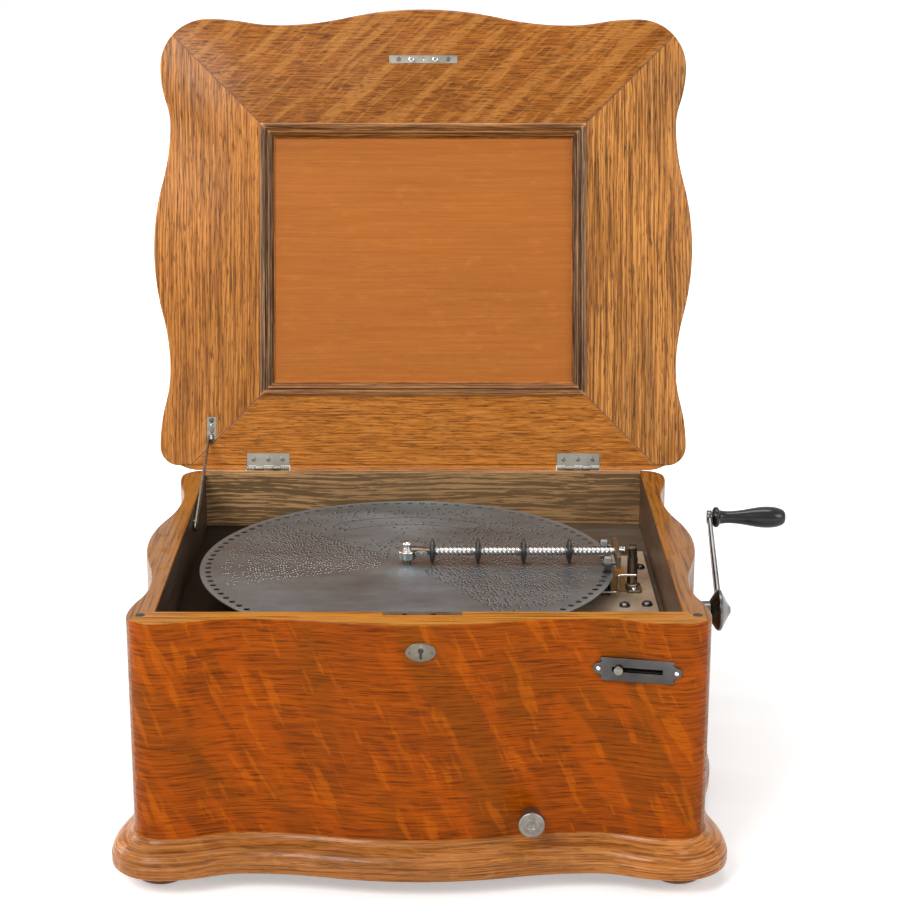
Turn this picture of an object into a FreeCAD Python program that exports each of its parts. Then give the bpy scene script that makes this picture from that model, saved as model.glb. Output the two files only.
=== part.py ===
import FreeCAD, Part
import math
import os

os.makedirs("parts", exist_ok=True)
V = FreeCAD.Vector

# Table-top disc music box, lid open, crank fitted. Lengths in millimetres.
# While modelling, X is zero on the case's centre line, Y is zero at the middle of
# the inner depth and Z is zero on the table. +Y is the back and +Z is up.

# Driving dimensions of the wooden case
INNER_HALF_WIDTH = 226.8
INNER_HALF_DEPTH = 204.1
BACK_BOARD = 12.0
RIM_Z = 247.0
FOOT_HEIGHT = 17.4
FOOT_RADIUS = 25.0
FOOT_FACE = 0.72
FOOT_BEYOND_SIDE = 1.2
FOOT_BEYOND_FRONT = 6.9
FOOT_INSIDE_BACK = 22.1
BOTTOM_BOARD = 12.0
SIDE_AT_EAR = 24.2
SIDE_AT_WAIST = 13.7
SIDE_AT_BULGE = 30.7
FRONT_AT_EAR = 30.9
FRONT_AT_WAIST = 16.9
FRONT_AT_BULGE = 33.4
WAIST_ALONG_X = 152.0
SIDE_MIDDLE_Y = -12.0
WAIST_ALONG_Y = 128.0
CORNER_RADIUS = 25.0
BACK_CORNER_RADIUS = 20.0

# Driving dimensions of the plinth and the lid
PLINTH_OVERHANG = 21.0
PLINTH_FASCIA_TOP = 28.0
PLINTH_NECK = 3.5
PLINTH_TOP = 47.5
LID_OVERHANG = 25.0
LID_GAP = 0.5
LID_BOARD = 22.0
LID_EDGE = 13.0
LID_SHOULDER = 14.0
LID_TOP_BOARD = 13.0
LID_CAP = 6.0
LID_CAP_SLOPE = 18.0
LID_OPEN_ANGLE = 106.0
FRAME_INSIDE_SIDE = 70.8
FRAME_INSIDE_FRONT = 76.1
PANEL_RECESS = 8.0
PANEL_TONGUE = 8.0
BEAD_WIDTH = 15.0
BEAD_HEIGHT = 3.0

# Driving dimensions of the hinges, the stay and the lock
KNUCKLE_RADIUS = 2.6
HINGE_PIN_RADIUS = 1.3
HINGE_LEAF = 1.8
HINGE_LEAF_DEPTH = 16.0
HINGE_WIDTH = 45.0
HINGE_X = 162.5
KNUCKLES = 5
KNUCKLE_PLAY = 0.2
STAY_FROM_SIDE = 2.6
STAY_HALF_THICKNESS = 1.0
STAY_HALF_WIDTH = 4.0
STAY_SLOT_HALF = 2.2
STAY_PIVOT_RADIUS = 1.8
STAY_PIVOT_FROM_HINGE = 31.0
STAY_PIVOT_DROP = 5.0
STAY_PLATE_FROM_HINGE = 54.0
STAY_PLATE_LENGTH = 24.0
STAY_LENGTH = 150.0
STAY_TRAVEL = 95.0
STUD_RADIUS = 2.0
STUD_DEPTH = 12.0
STAY_STUD_FROM_HINGE = 129.0
STAY_STUD_BELOW_RIM = 15.0
PEG_SPACING = 25.0
PEG_RADIUS = 1.6
PEG_LENGTH = 9.0
PEG_HOLE_RADIUS = 2.6
PEG_BEYOND_FRONT = 5.7
STRIKER_HALF_X = 36.0
STRIKER_HALF_Y = 4.2
STRIKER = 1.5
LOCK_X0 = -31.0
LOCK_X1 = 37.0
LOCK_BEYOND_FRONT = 8.9
LOCK_DEPTH = 40.0
ESCUTCHEON_X = 1.6
ESCUTCHEON_BELOW_RIM = 24.5
ESCUTCHEON_HALF_X = 13.2
ESCUTCHEON_HALF_Z = 8.6
ESCUTCHEON = 1.4
ESCUTCHEON_SEAT = 0.4

# Driving dimensions of the start and stop work
START_X = 187.0
START_BEHIND_BULGE = 10.3
START_BELOW_RIM = 44.5
START_TURN = -11.0
START_HALF_X = 38.0
START_HALF_Z = 10.5
START_PLATE = 3.0
START_SLOT_HALF_X = 21.5
START_SLOT_HALF_Z = 2.0
START_KNOB = -16.0
START_KNOB_RADIUS = 4.2
START_TRAVEL = 33.0
STOP_WIRE_RADIUS = 1.1
STOP_WIRE_Y = -24.0
STOP_WIRE_ABOVE_BED = 20.0

# Driving dimensions of the tune disc and its drive
DISC_X = -13.5
DISC_RADIUS = 196.85
DISC_THICKNESS = 0.9
DISC_BELOW_RIM = 28.0
DRIVE_HOLES = 96
DRIVE_HOLE_FROM_EDGE = 7.85
DRIVE_HOLE_HALF = 2.9
SPROCKET_TEETH = 10
SPROCKET_THICKNESS = 3.0
SPROCKET_ROOT = 3.4
SPROCKET_TIP = 2.3
SPROCKET_TOOTH_ROOT_HALF = 1.9
SPROCKET_TOOTH_TIP_HALF = 0.7
NOTES = 12
FIRST_TRACK = 26.0
TRACK_PITCH = 10.4
STAR_RADIUS = 6.2
STAR_POINTS = 5
STAR_ROOT = 0.62
STAR_WIDTH = 1.8
STAR_DROP = 1.2
STAR_CORE = 2.2
STAR_PIVOT_RADIUS = 1.5
COMB_GAP = 0.5
COMB_SHORT = 26.0
COMB_LONG = 62.0
COMB_BODY = 24.0
COMB_PLATE = 4.0
TINE_WIDTH = 2.2
TINE_THICKNESS = 1.5

# Driving dimensions of the bed and the pressure arm
BED_X0 = -40.0
BED_X1 = 221.0
BED_HALF_Y = 104.0
BED_CORNER = 60.0
BED_BELOW_RIM = 51.0
BED_THICKNESS = 6.0
BED_CHANNEL = 1.5
SOUND_BOARD = 12.0
SPINDLE_RADIUS = 3.5
SPINDLE_COLLAR = 8.0
SPINDLE_FOOT = 13.0
ARM_BELOW_RIM = 15.2
POST_X = 201.5
POST_RADIUS = 5.0
PIVOT_RADIUS = 2.5
FORK_HALF = 3.0
BAR_SIDE = 5.2
BAR_TWIST_PITCH = 26.0
BAR_STEPS_PER_TURN = 8
BAR_END_X = 184.0
CARRIER = 4.0
ROLLER_TRACKS = (24.1, 67.5, 110.9, 154.3)
ROLLER_CLEARANCE = 0.3
ROLLER_WIDTH = 6.0
ROLLER_BORE = 3.0
ROLLER_EDGE_PLAY = 0.4
EDGE_ROLLER_RADIUS = 8.5
EDGE_ROLLER_HALF = 3.5
EDGE_ROLLER_Y = 25.0
EDGE_AXLE_RADIUS = 2.0

# Driving dimensions of the crank and the spring motor
CRANK_BELOW_RIM = 75.0
CRANK_BEYOND_BULGE = 28.5
CRANK_ARM_HALF = 2.5
CRANK_LENGTH = 116.0
CRANK_ANGLE = 32.3
SHAFT_RADIUS = 6.0
BUSH_RADIUS = 9.0
FLANGE_RADIUS = 17.0
RUNNING_FIT = 0.05
GRIP_LENGTH = 73.0
GRIP_AXLE_RADIUS = 3.0
GEAR_MODULE = 2.5
GREAT_TEETH = 48
PINION_TEETH = 8
WINDING_PINION_TEETH = 12
WINDING_WHEEL_TEETH = 24
GOVERNOR_MODULE = 1.5
RELAY_WHEEL_TEETH = 30
GOVERNOR_PINION_TEETH = 10
TOOTH_TIP = 0.85
TOOTH_ROOT = 1.15
ARBOR_RADIUS = 4.0
GREAT_X0 = 160.0
GREAT_X1 = 166.0
WINDING_X0 = 205.0
WINDING_X1 = 212.0
RELAY_X0 = 150.0
RELAY_X1 = 154.0
RELAY_ANGLE = 200.0
BARREL_X0 = 106.0
BARREL_RADIUS = 40.0
BARREL_WIDTH = 40.0
BARREL_WALL = 2.5
BARREL_SLEEVE = 14.0
MAINSPRING_INNER = 9.0
RATCHET_TEETH = 12
RATCHET_RADIUS = 16.0
RATCHET_DEPTH = 3.0
CLICK_THICKNESS = 3.5
PLATE_LEFT_X = 98.0
PLATE_RIGHT_X = 196.0
PLATE = 4.0
MOTOR_Y0 = -102.0
MOTOR_Y1 = 98.0
PILLAR_RADIUS = 5.0
PILLAR_INSET = 8.0
FLY_RADIUS = 20.0
FLY_ARBOR_RADIUS = 2.5
FLY_X0 = 108.0
FLY_X1 = 140.0
KNOB_X = 96.9
KNOB_Z = 69.0
KNOB_RADIUS = 12.0
KNOB_STANDS_OUT = 22.0
KNOB_SHAFT = 4.0
KNOB_SHAFT_LENGTH = 80.0

# How many flats stand for the arcs of the outline and the round of small turned pieces
ARC_FLATS = 3
CORNER_FLATS = 4
FINE_SIDES = 16
SIDES = 12
COARSE_SIDES = 8

# Places that follow from the driving dimensions
BACK_Y = INNER_HALF_DEPTH + BACK_BOARD
EAR_X = INNER_HALF_WIDTH + SIDE_AT_EAR
WAIST_X = INNER_HALF_WIDTH + SIDE_AT_WAIST
BULGE_X = INNER_HALF_WIDTH + SIDE_AT_BULGE
EAR_Y = INNER_HALF_DEPTH + FRONT_AT_EAR
WAIST_Y = INNER_HALF_DEPTH + FRONT_AT_WAIST
BULGE_Y = INNER_HALF_DEPTH + FRONT_AT_BULGE
PANEL_HALF_X = INNER_HALF_WIDTH - FRAME_INSIDE_SIDE
PANEL_HALF_Y = INNER_HALF_DEPTH - FRAME_INSIDE_FRONT
FOOT_X = INNER_HALF_WIDTH + FOOT_BEYOND_SIDE
FOOT_FRONT_Y = -(INNER_HALF_DEPTH + FOOT_BEYOND_FRONT)
FOOT_BACK_Y = INNER_HALF_DEPTH - FOOT_INSIDE_BACK
PEG_Y = -(INNER_HALF_DEPTH + PEG_BEYOND_FRONT)
LOCK_Y0 = -(INNER_HALF_DEPTH + LOCK_BEYOND_FRONT)
START_Y = START_BEHIND_BULGE - BULGE_Y
DRIVE_HOLE_CIRCLE = DISC_RADIUS - DRIVE_HOLE_FROM_EDGE
CRANK_ARM_X = BULGE_X + CRANK_BEYOND_BULGE
WALL_Z = FOOT_HEIGHT + BOTTOM_BOARD
LID_Z = RIM_Z + LID_GAP
PIN_Y = BACK_Y + KNUCKLE_RADIUS + 0.3
PIN_Z = LID_Z + HINGE_LEAF / 2
STAY_X = STAY_FROM_SIDE - INNER_HALF_WIDTH
STAY_STUD_Y = PIN_Y - STAY_STUD_FROM_HINGE
DISC_Z = RIM_Z - DISC_BELOW_RIM
DISC_TOP = DISC_Z + DISC_THICKNESS / 2
DISC_UNDERSIDE = DISC_Z - DISC_THICKNESS / 2
BED_TOP = RIM_Z - BED_BELOW_RIM
BED_BOTTOM = BED_TOP - BED_THICKNESS
SOUND_BOARD_BOTTOM = BED_BOTTOM - SOUND_BOARD
ARM_Z = RIM_Z - ARM_BELOW_RIM
ROLLER_RADIUS = ARM_Z - DISC_TOP - ROLLER_CLEARANCE
EDGE_ROLLER_Z = DISC_TOP + ROLLER_CLEARANCE + EDGE_ROLLER_RADIUS
ROLLER_SEAT = ROLLER_WIDTH / 2 + ROLLER_EDGE_PLAY
ROLLER_XS = [DISC_X + track for track in ROLLER_TRACKS]
HUB_END_X = ROLLER_XS[0] - ROLLER_SEAT
STAR_Z = DISC_UNDERSIDE - STAR_DROP - STAR_RADIUS
SPROCKET_RADIUS = DRIVE_HOLE_CIRCLE * SPROCKET_TEETH / DRIVE_HOLES
SPROCKET_X = DISC_X + DRIVE_HOLE_CIRCLE
SPROCKET_Z = DISC_Z - SPROCKET_RADIUS
START_Z = RIM_Z - START_BELOW_RIM
STUD_Z = RIM_Z - STAY_STUD_BELOW_RIM
CRANK_Z = RIM_Z - CRANK_BELOW_RIM
CRANK_END_Y = CRANK_LENGTH * math.cos(math.radians(CRANK_ANGLE))
CRANK_END_Z = CRANK_Z + CRANK_LENGTH * math.sin(math.radians(CRANK_ANGLE))
GRIP_X0 = CRANK_ARM_X + CRANK_ARM_HALF + 0.5
GRIP_X1 = GRIP_X0 + GRIP_LENGTH

# The barrel's axis is where both of its gear pairs have their centre distances
GREAT_DISTANCE = GEAR_MODULE * (GREAT_TEETH + PINION_TEETH) / 2
WINDING_DISTANCE = GEAR_MODULE * (WINDING_PINION_TEETH + WINDING_WHEEL_TEETH) / 2
AXES_APART = SPROCKET_Z - CRANK_Z
BARREL_DROP = (GREAT_DISTANCE ** 2 - WINDING_DISTANCE ** 2 - AXES_APART ** 2) / (2 * AXES_APART)
BARREL_Z = CRANK_Z - BARREL_DROP
BARREL_Y = math.sqrt(WINDING_DISTANCE ** 2 - BARREL_DROP ** 2)
RELAY_Y = BARREL_Y + GREAT_DISTANCE * math.cos(math.radians(RELAY_ANGLE))
RELAY_Z = BARREL_Z + GREAT_DISTANCE * math.sin(math.radians(RELAY_ANGLE))
GOVERNOR_DISTANCE = GOVERNOR_MODULE * (RELAY_WHEEL_TEETH + GOVERNOR_PINION_TEETH) / 2
GOVERNOR_Y = RELAY_Y - GOVERNOR_DISTANCE
GOVERNOR_Z = RELAY_Z
BARREL_TO_SPROCKET = math.degrees(math.atan2(SPROCKET_Z - BARREL_Z, -BARREL_Y))
BARREL_TO_CRANK = math.degrees(math.atan2(CRANK_Z - BARREL_Z, -BARREL_Y))
CLICK_Y = BARREL_Y + 36.0
CLICK_Z = BARREL_Z + 14.0
MOTOR_BOTTOM = BARREL_Z - GEAR_MODULE * GREAT_TEETH / 2 - 10

# The frame's origin is the middle of the whole object's footprint on the table
OPEN = math.radians(LID_OPEN_ANGLE)
LID_REACH = PIN_Y + BULGE_Y + LID_CAP - LID_CAP_SLOPE
LID_HEIGHT = LID_Z + LID_BOARD + LID_TOP_BOARD - PIN_Z
LID_BACKMOST_Y = PIN_Y - LID_REACH * math.cos(OPEN) + LID_HEIGHT * math.sin(OPEN)
ORIGIN_X = (GRIP_X1 - BULGE_X - LID_OVERHANG) / 2
ORIGIN_Y = (LID_BACKMOST_Y - BULGE_Y - PLINTH_OVERHANG) / 2

X_AXIS = V(1, 0, 0)
Y_AXIS = V(0, 1, 0)
Z_AXIS = V(0, 0, 1)


# Helpers for the solids
def export(name, shape):
    moved = shape.removeSplitter()
    moved.translate(V(-ORIGIN_X, -ORIGIN_Y, 0))
    moved.exportStep("parts/" + name + ".step")


def box(x0, x1, y0, y1, z0, z1):
    return Part.makeBox(x1 - x0, y1 - y0, z1 - z0, V(x0, y0, z0))


def polygon_face(points):
    return Part.Face(Part.makePolygon(points + [points[0]]))


def prism(points, direction):
    return polygon_face(points).extrude(direction)


def rod(radius, start, end, sides=SIDES):
    """A regular prism whose corners lie on the radius."""
    corners = []
    for k in range(sides):
        angle = 2 * math.pi * (k + 0.5) / sides
        corners.append(V(0, radius * math.cos(angle), radius * math.sin(angle)))
    solid = prism(corners, V((end - start).Length, 0, 0))
    solid.Placement = FreeCAD.Placement(start, FreeCAD.Rotation(X_AXIS, end - start))
    return solid


def bore(radius, start, end, sides=SIDES):
    """A regular prism whose flats lie on the radius."""
    return rod(radius / math.cos(math.pi / sides), start, end, sides)


def rod_x(radius, x0, x1, y, z, sides=SIDES):
    return rod(radius, V(x0, y, z), V(x1, y, z), sides)


def bore_x(radius, x0, x1, y, z, sides=SIDES):
    return bore(radius, V(x0, y, z), V(x1, y, z), sides)


def group(solids):
    return Part.makeCompound(solids)


def closed_solid(faces):
    shell = Part.makeShell(faces)
    shell.sewShape()
    solid = Part.makeSolid(shell)
    if solid.Volume < 0:
        solid.reverse()
    return solid


def band(ring, following):
    """Flat faces between two rings that turn alike; a ring of one point is an apex."""
    if len(ring) == 1 and len(following) == 1:
        return []
    if len(ring) == 1 or len(following) == 1:
        wide = following if len(ring) == 1 else ring
        apex = ring[0] if len(ring) == 1 else following[0]
        if wide[0].x == apex.x:
            return [polygon_face(wide)]
        return [polygon_face([a, b, apex]) for a, b in zip(wide, wide[1:] + wide[:1])]
    pairs = list(zip(ring, following))
    return [polygon_face([a, c, d, b]) for (a, b), (c, d) in zip(pairs, pairs[1:] + pairs[:1])]


def turned(profile, centre, axis, sides=SIDES):
    """A turned piece with flats: profile is (distance along the axis, radius) pairs."""
    rings = []
    for along, radius in profile:
        angles = [2 * math.pi * (k + 0.5) / sides for k in range(sides if radius > 0 else 1)]
        rings.append([V(along, radius * math.cos(a), radius * math.sin(a)) for a in angles])
    faces = []
    for ring, following in zip(rings, rings[1:] + rings[:1]):
        faces.extend(band(ring, following))
    solid = closed_solid(faces)
    solid.Placement = FreeCAD.Placement(centre, FreeCAD.Rotation(X_AXIS, axis))
    return solid


def screw_head(centre, axis, radius, height):
    """A slotless round screw head, with its flat side at the centre point."""
    profile = [(0, 0), (0, radius), (height, radius * 0.6), (height, 0)]
    return turned(profile, centre, axis, COARSE_SIDES)


# The serpentine outline that the case, the plinth and the lid share
def arc(centre_s, centre_n, radius, from_angle, to_angle):
    """Points on an arc, past its first, as (along, outward) pairs; angles are off the outward way."""
    points = []
    for k in range(1, ARC_FLATS + 1):
        angle = from_angle + (to_angle - from_angle) * k / ARC_FLATS
        points.append((centre_s + radius * math.sin(angle), centre_n + radius * math.cos(angle)))
    return points


def wave(crests, offset):
    """Tangent arcs through points where the outline runs straight, pushed out by offset."""
    points = [(crests[0][0], crests[0][1] + offset)]
    for (s0, n0), (s1, n1) in zip(crests[:-1], crests[1:]):
        length = s1 - s0
        rise = abs(n1 - n0)
        radius = (length ** 2 + rise ** 2) / (4 * rise)
        turn = 2 * math.atan(rise / length)
        outer = radius + offset
        inner = radius - offset
        if n0 > n1:
            points.extend(arc(s0, n0 - radius, outer, 0, turn))
            points.extend(arc(s1, n1 + radius, inner, math.pi + turn, math.pi))
        else:
            points.extend(arc(s0, n0 + radius, inner, math.pi, math.pi - turn))
            points.extend(arc(s1, n1 - radius, outer, -turn, 0))
    return points


def corner(centre_x, centre_y, radius, from_angle):
    """Points inside a quarter circle, without its two ends."""
    points = []
    for k in range(1, CORNER_FLATS):
        angle = math.radians(from_angle + 90.0 * k / CORNER_FLATS)
        points.append((centre_x + radius * math.cos(angle), centre_y + radius * math.sin(angle)))
    return points


def outline(offset, z):
    """Points of the plan at one height, pushed out by offset on three sides."""
    front_corner_x = EAR_X - CORNER_RADIUS
    front_corner_y = -(EAR_Y - CORNER_RADIUS)
    back_corner_x = EAR_X + offset - BACK_CORNER_RADIUS
    back_corner_y = BACK_Y - BACK_CORNER_RADIUS
    front = wave([
        (-front_corner_x, EAR_Y),
        (-WAIST_ALONG_X, WAIST_Y),
        (0, BULGE_Y),
        (WAIST_ALONG_X, WAIST_Y),
        (front_corner_x, EAR_Y),
    ], offset)
    side = wave([
        (front_corner_y, EAR_X),
        (SIDE_MIDDLE_Y - WAIST_ALONG_Y, WAIST_X),
        (SIDE_MIDDLE_Y, BULGE_X),
        (SIDE_MIDDLE_Y + WAIST_ALONG_Y, WAIST_X),
        (back_corner_y, EAR_X),
    ], offset)
    round_corner = CORNER_RADIUS + offset
    points = [(s, -n) for s, n in front]
    points.extend(corner(front_corner_x, front_corner_y, round_corner, -90))
    points.extend([(n, s) for s, n in side])
    points.extend(corner(back_corner_x, back_corner_y, BACK_CORNER_RADIUS, 0))
    points.append((back_corner_x, BACK_Y))
    points.append((-back_corner_x, BACK_Y))
    points.extend(corner(-back_corner_x, back_corner_y, BACK_CORNER_RADIUS, 90))
    points.extend([(-n, s) for s, n in reversed(side)])
    points.extend(corner(-front_corner_x, front_corner_y, round_corner, 180))
    return [V(x, y, z) for x, y in points]


def slab(offset, z0, z1):
    return prism(outline(offset, z0), V(0, 0, z1 - z0))


def moulded(sections):
    """A solid through outlines given as (offset, height) pairs, from the bottom up."""
    rings = [outline(offset, z) for offset, z in sections]
    faces = [polygon_face(rings[0]), polygon_face(rings[-1])]
    for ring, following in zip(rings[:-1], rings[1:]):
        faces.extend(band(ring, following))
    return closed_solid(faces)


def sector(side, half_x, half_y, z0, z1):
    """What lies beyond one side of an inner rectangle, between its mitre planes."""
    reach = 120.0
    if side in ("left", "right"):
        near = -1 if side == "left" else 1
        points = [
            (near * half_x, -half_y),
            (near * (half_x + reach), -half_y - reach),
            (near * (half_x + reach), half_y + reach),
            (near * half_x, half_y),
        ]
    else:
        far = 1 if side == "back" else -1
        points = [
            (-half_x, far * half_y),
            (half_x, far * half_y),
            (half_x + reach, far * (half_y + reach)),
            (-half_x - reach, far * (half_y + reach)),
        ]
    return prism([V(x, y, z0) for x, y in points], V(0, 0, z1 - z0))


def wedge(side, half_x, half_y, z0, z1):
    """The strip just inside one side of the rectangle, mitred the same way."""
    depth = BEAD_WIDTH + PANEL_TONGUE + 1
    if side in ("left", "right"):
        near = -1 if side == "left" else 1
        points = [
            (near * half_x, -half_y),
            (near * half_x, half_y),
            (near * (half_x - depth), half_y - depth),
            (near * (half_x - depth), -half_y + depth),
        ]
    else:
        far = 1 if side == "back" else -1
        points = [
            (-half_x, far * half_y),
            (half_x, far * half_y),
            (half_x - depth, far * (half_y - depth)),
            (-half_x + depth, far * (half_y - depth)),
        ]
    return prism([V(x, y, z0) for x, y in points], V(0, 0, z1 - z0))


# Wooden case: front, sides and back round a straight-walled inside
def lock_pocket():
    return box(LOCK_X0, LOCK_X1, LOCK_Y0, -INNER_HALF_DEPTH, RIM_Z - LOCK_DEPTH, RIM_Z)


def make_case():
    walls = slab(0, WALL_Z, RIM_Z)
    inside = box(-INNER_HALF_WIDTH, INNER_HALF_WIDTH, -INNER_HALF_DEPTH, BACK_Y + 1, WALL_Z, RIM_Z)
    walls = walls.cut(inside)
    front_sector = sector("front", INNER_HALF_WIDTH, INNER_HALF_DEPTH, WALL_Z, RIM_Z)
    front = walls.common(front_sector).cut(lock_pocket())
    front = front.cut(bore(KNOB_SHAFT + RUNNING_FIT, V(KNOB_X, -300, KNOB_Z), V(KNOB_X, 0, KNOB_Z)))
    pocket = start_piece(box(-START_HALF_X, START_HALF_X, -40, 0, -START_HALF_Z, START_HALF_Z))
    slot = start_piece(box(-START_SLOT_HALF_X, START_SLOT_HALF_X, -40, 60, -START_SLOT_HALF_Z, START_SLOT_HALF_Z))
    export("front_panel", front.cut(pocket).cut(slot).cut(escutcheon_solid()))

    sides = walls.cut(front_sector)
    left = sides.common(box(-300, 0, -300, 300, WALL_Z, RIM_Z))
    right = sides.common(box(0, 300, -300, 300, WALL_Z, RIM_Z))
    stud_hole = rod_x(STUD_RADIUS, -INNER_HALF_WIDTH - STUD_DEPTH, 0, STAY_STUD_Y, STUD_Z)
    export("left_side", left.cut(stud_hole))
    export("right_side", right.cut(rod_x(BUSH_RADIUS, 200, 300, 0, CRANK_Z, FINE_SIDES)))
    back = box(-INNER_HALF_WIDTH, INNER_HALF_WIDTH, INNER_HALF_DEPTH, BACK_Y, WALL_Z, RIM_Z)
    export("back_panel", back)
    export("bottom_board", slab(0, FOOT_HEIGHT, WALL_Z))


# Moulded plinth round the foot of the case, mitred at the front corners
def make_plinth():
    ring = moulded([
        (PLINTH_OVERHANG, FOOT_HEIGHT),
        (PLINTH_OVERHANG, PLINTH_FASCIA_TOP),
        (PLINTH_NECK, PLINTH_TOP - 4.5),
        (PLINTH_NECK - 2, PLINTH_TOP),
    ])
    ring = ring.cut(slab(0, FOOT_HEIGHT, PLINTH_TOP))
    front = sector("front", INNER_HALF_WIDTH, INNER_HALF_DEPTH, FOOT_HEIGHT, PLINTH_TOP)
    sides = ring.cut(front)
    export("plinth_front", ring.common(front))
    export("plinth_left", sides.common(box(-400, 0, -400, 400, 0, 100)))
    export("plinth_right", sides.common(box(0, 400, -400, 400, 0, 100)))

    face = FOOT_RADIUS * FOOT_FACE
    profile = [
        (0, 0),
        (0, face),
        (FOOT_HEIGHT * 0.35, FOOT_RADIUS),
        (FOOT_HEIGHT * 0.65, FOOT_RADIUS),
        (FOOT_HEIGHT, face),
        (FOOT_HEIGHT, 0),
    ]
    feet = []
    for x in (-FOOT_X, FOOT_X):
        for y in (FOOT_FRONT_Y, FOOT_BACK_Y):
            feet.append(turned(profile, V(x, y, 0), Z_AXIS))
    export("feet", group(feet))


# Lid, drawn closed and then turned open about the hinge pins
def open_lid(shape):
    opened = shape.copy()
    opened.rotate(V(0, PIN_Y, PIN_Z), X_AXIS, -LID_OPEN_ANGLE)
    return opened


def rectangle(half_x, half_y, z):
    corners = [V(-half_x, -half_y, z), V(half_x, -half_y, z), V(half_x, half_y, z), V(-half_x, half_y, z)]
    return Part.makePolygon(corners + [corners[0]])


def make_lid():
    bead_x = PANEL_HALF_X + BEAD_WIDTH
    bead_y = PANEL_HALF_Y + BEAD_WIDTH
    top = LID_Z + LID_BOARD
    frame = moulded([
        (LID_OVERHANG - 3, LID_Z),
        (LID_OVERHANG, LID_Z + 3),
        (LID_OVERHANG, LID_Z + LID_EDGE),
        (LID_SHOULDER, top),
    ])
    bead = Part.makeLoft([
        rectangle(bead_x - 3.5, bead_y - 3.5, LID_Z - BEAD_HEIGHT),
        rectangle(bead_x, bead_y, LID_Z),
    ], True, True)
    opening = Part.makeLoft([
        rectangle(PANEL_HALF_X + 7, PANEL_HALF_Y + 7, LID_Z - BEAD_HEIGHT),
        rectangle(PANEL_HALF_X + 1.5, PANEL_HALF_Y + 1.5, LID_Z + 2),
        rectangle(PANEL_HALF_X, PANEL_HALF_Y, LID_Z + PANEL_RECESS),
    ], True, True)
    panel_x = PANEL_HALF_X + PANEL_TONGUE
    panel_y = PANEL_HALF_Y + PANEL_TONGUE
    panel = box(-panel_x, panel_x, -panel_y, panel_y, LID_Z + PANEL_RECESS, top)
    frame = frame.fuse(bead).cut(opening).cut(panel)
    for x in (-HINGE_X, HINGE_X):
        frame = frame.cut(lid_leaf_plate(x))
    frame = frame.cut(striker_plate_solid()).cut(stay_plate_solid())
    for side in ("front", "back", "left", "right"):
        region = sector(side, bead_x, bead_y, LID_Z - BEAD_HEIGHT - 1, top)
        inner = wedge(side, bead_x, bead_y, LID_Z - BEAD_HEIGHT - 1, top)
        export("lid_" + side + "_board", open_lid(frame.common(region.fuse(inner))))
    export("lid_panel", open_lid(panel))
    cap = moulded([
        (LID_CAP, top),
        (LID_CAP, top + 5),
        (LID_CAP - LID_CAP_SLOPE, top + LID_TOP_BOARD),
    ])
    export("lid_top_board", open_lid(cap))


# Butt hinges: leaf mortised in the lid, leaf on the back panel, five knuckles
def lid_leaf_plate(x):
    half = HINGE_WIDTH / 2
    return box(x - half, x + half, PIN_Y - HINGE_LEAF_DEPTH, BACK_Y, LID_Z, LID_Z + HINGE_LEAF)


def make_hinges():
    lid_leaves = []
    case_leaves = []
    pins = []
    pitch = HINGE_WIDTH / KNUCKLES
    for x in (-HINGE_X, HINGE_X):
        start = x - HINGE_WIDTH / 2
        end = x + HINGE_WIDTH / 2
        lid_leaf = lid_leaf_plate(x)
        case_leaf = box(start, end, BACK_Y, BACK_Y + HINGE_LEAF,
                        PIN_Z - HINGE_LEAF_DEPTH, PIN_Z - KNUCKLE_RADIUS - 0.6)
        for i in range(KNUCKLES):
            x0 = start + i * pitch + KNUCKLE_PLAY / 2
            x1 = x0 + pitch - KNUCKLE_PLAY
            knuckle = rod_x(KNUCKLE_RADIUS, x0, x1, PIN_Y, PIN_Z, COARSE_SIDES)
            if i % 2:
                lid_leaf = lid_leaf.fuse(knuckle).fuse(box(x0, x1, BACK_Y, PIN_Y, LID_Z, LID_Z + HINGE_LEAF))
            else:
                strap = box(x0, x1, BACK_Y, BACK_Y + HINGE_LEAF, PIN_Z - 5, PIN_Z)
                case_leaf = case_leaf.fuse(knuckle).fuse(strap)
        lid_bore = bore_x(HINGE_PIN_RADIUS + RUNNING_FIT, start - 1, end + 1, PIN_Y, PIN_Z, COARSE_SIDES)
        pin = rod_x(HINGE_PIN_RADIUS, start, end, PIN_Y, PIN_Z, COARSE_SIDES)
        lid_leaves.append(lid_leaf.cut(lid_bore))
        case_leaves.append(case_leaf.cut(pin))
        pins.append(pin)
    export("hinge_lid_leaves", open_lid(group(lid_leaves)))
    export("hinge_case_leaves", group(case_leaves))
    export("hinge_pins", group(pins))


# Lock, striker plate with two pegs, and keyhole escutcheon
def striker_plate_solid():
    return box(-STRIKER_HALF_X, STRIKER_HALF_X, PEG_Y - STRIKER_HALF_Y, PEG_Y + STRIKER_HALF_Y,
               LID_Z, LID_Z + STRIKER)


def escutcheon_solid():
    oval = []
    for k in range(FINE_SIDES):
        angle = 2 * math.pi * (k + 0.5) / FINE_SIDES
        oval.append(V(ESCUTCHEON_X + ESCUTCHEON_HALF_X * math.cos(angle), ESCUTCHEON_SEAT - BULGE_Y,
                      RIM_Z - ESCUTCHEON_BELOW_RIM + ESCUTCHEON_HALF_Z * math.sin(angle)))
    return prism(oval, V(0, -ESCUTCHEON, 0))


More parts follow.
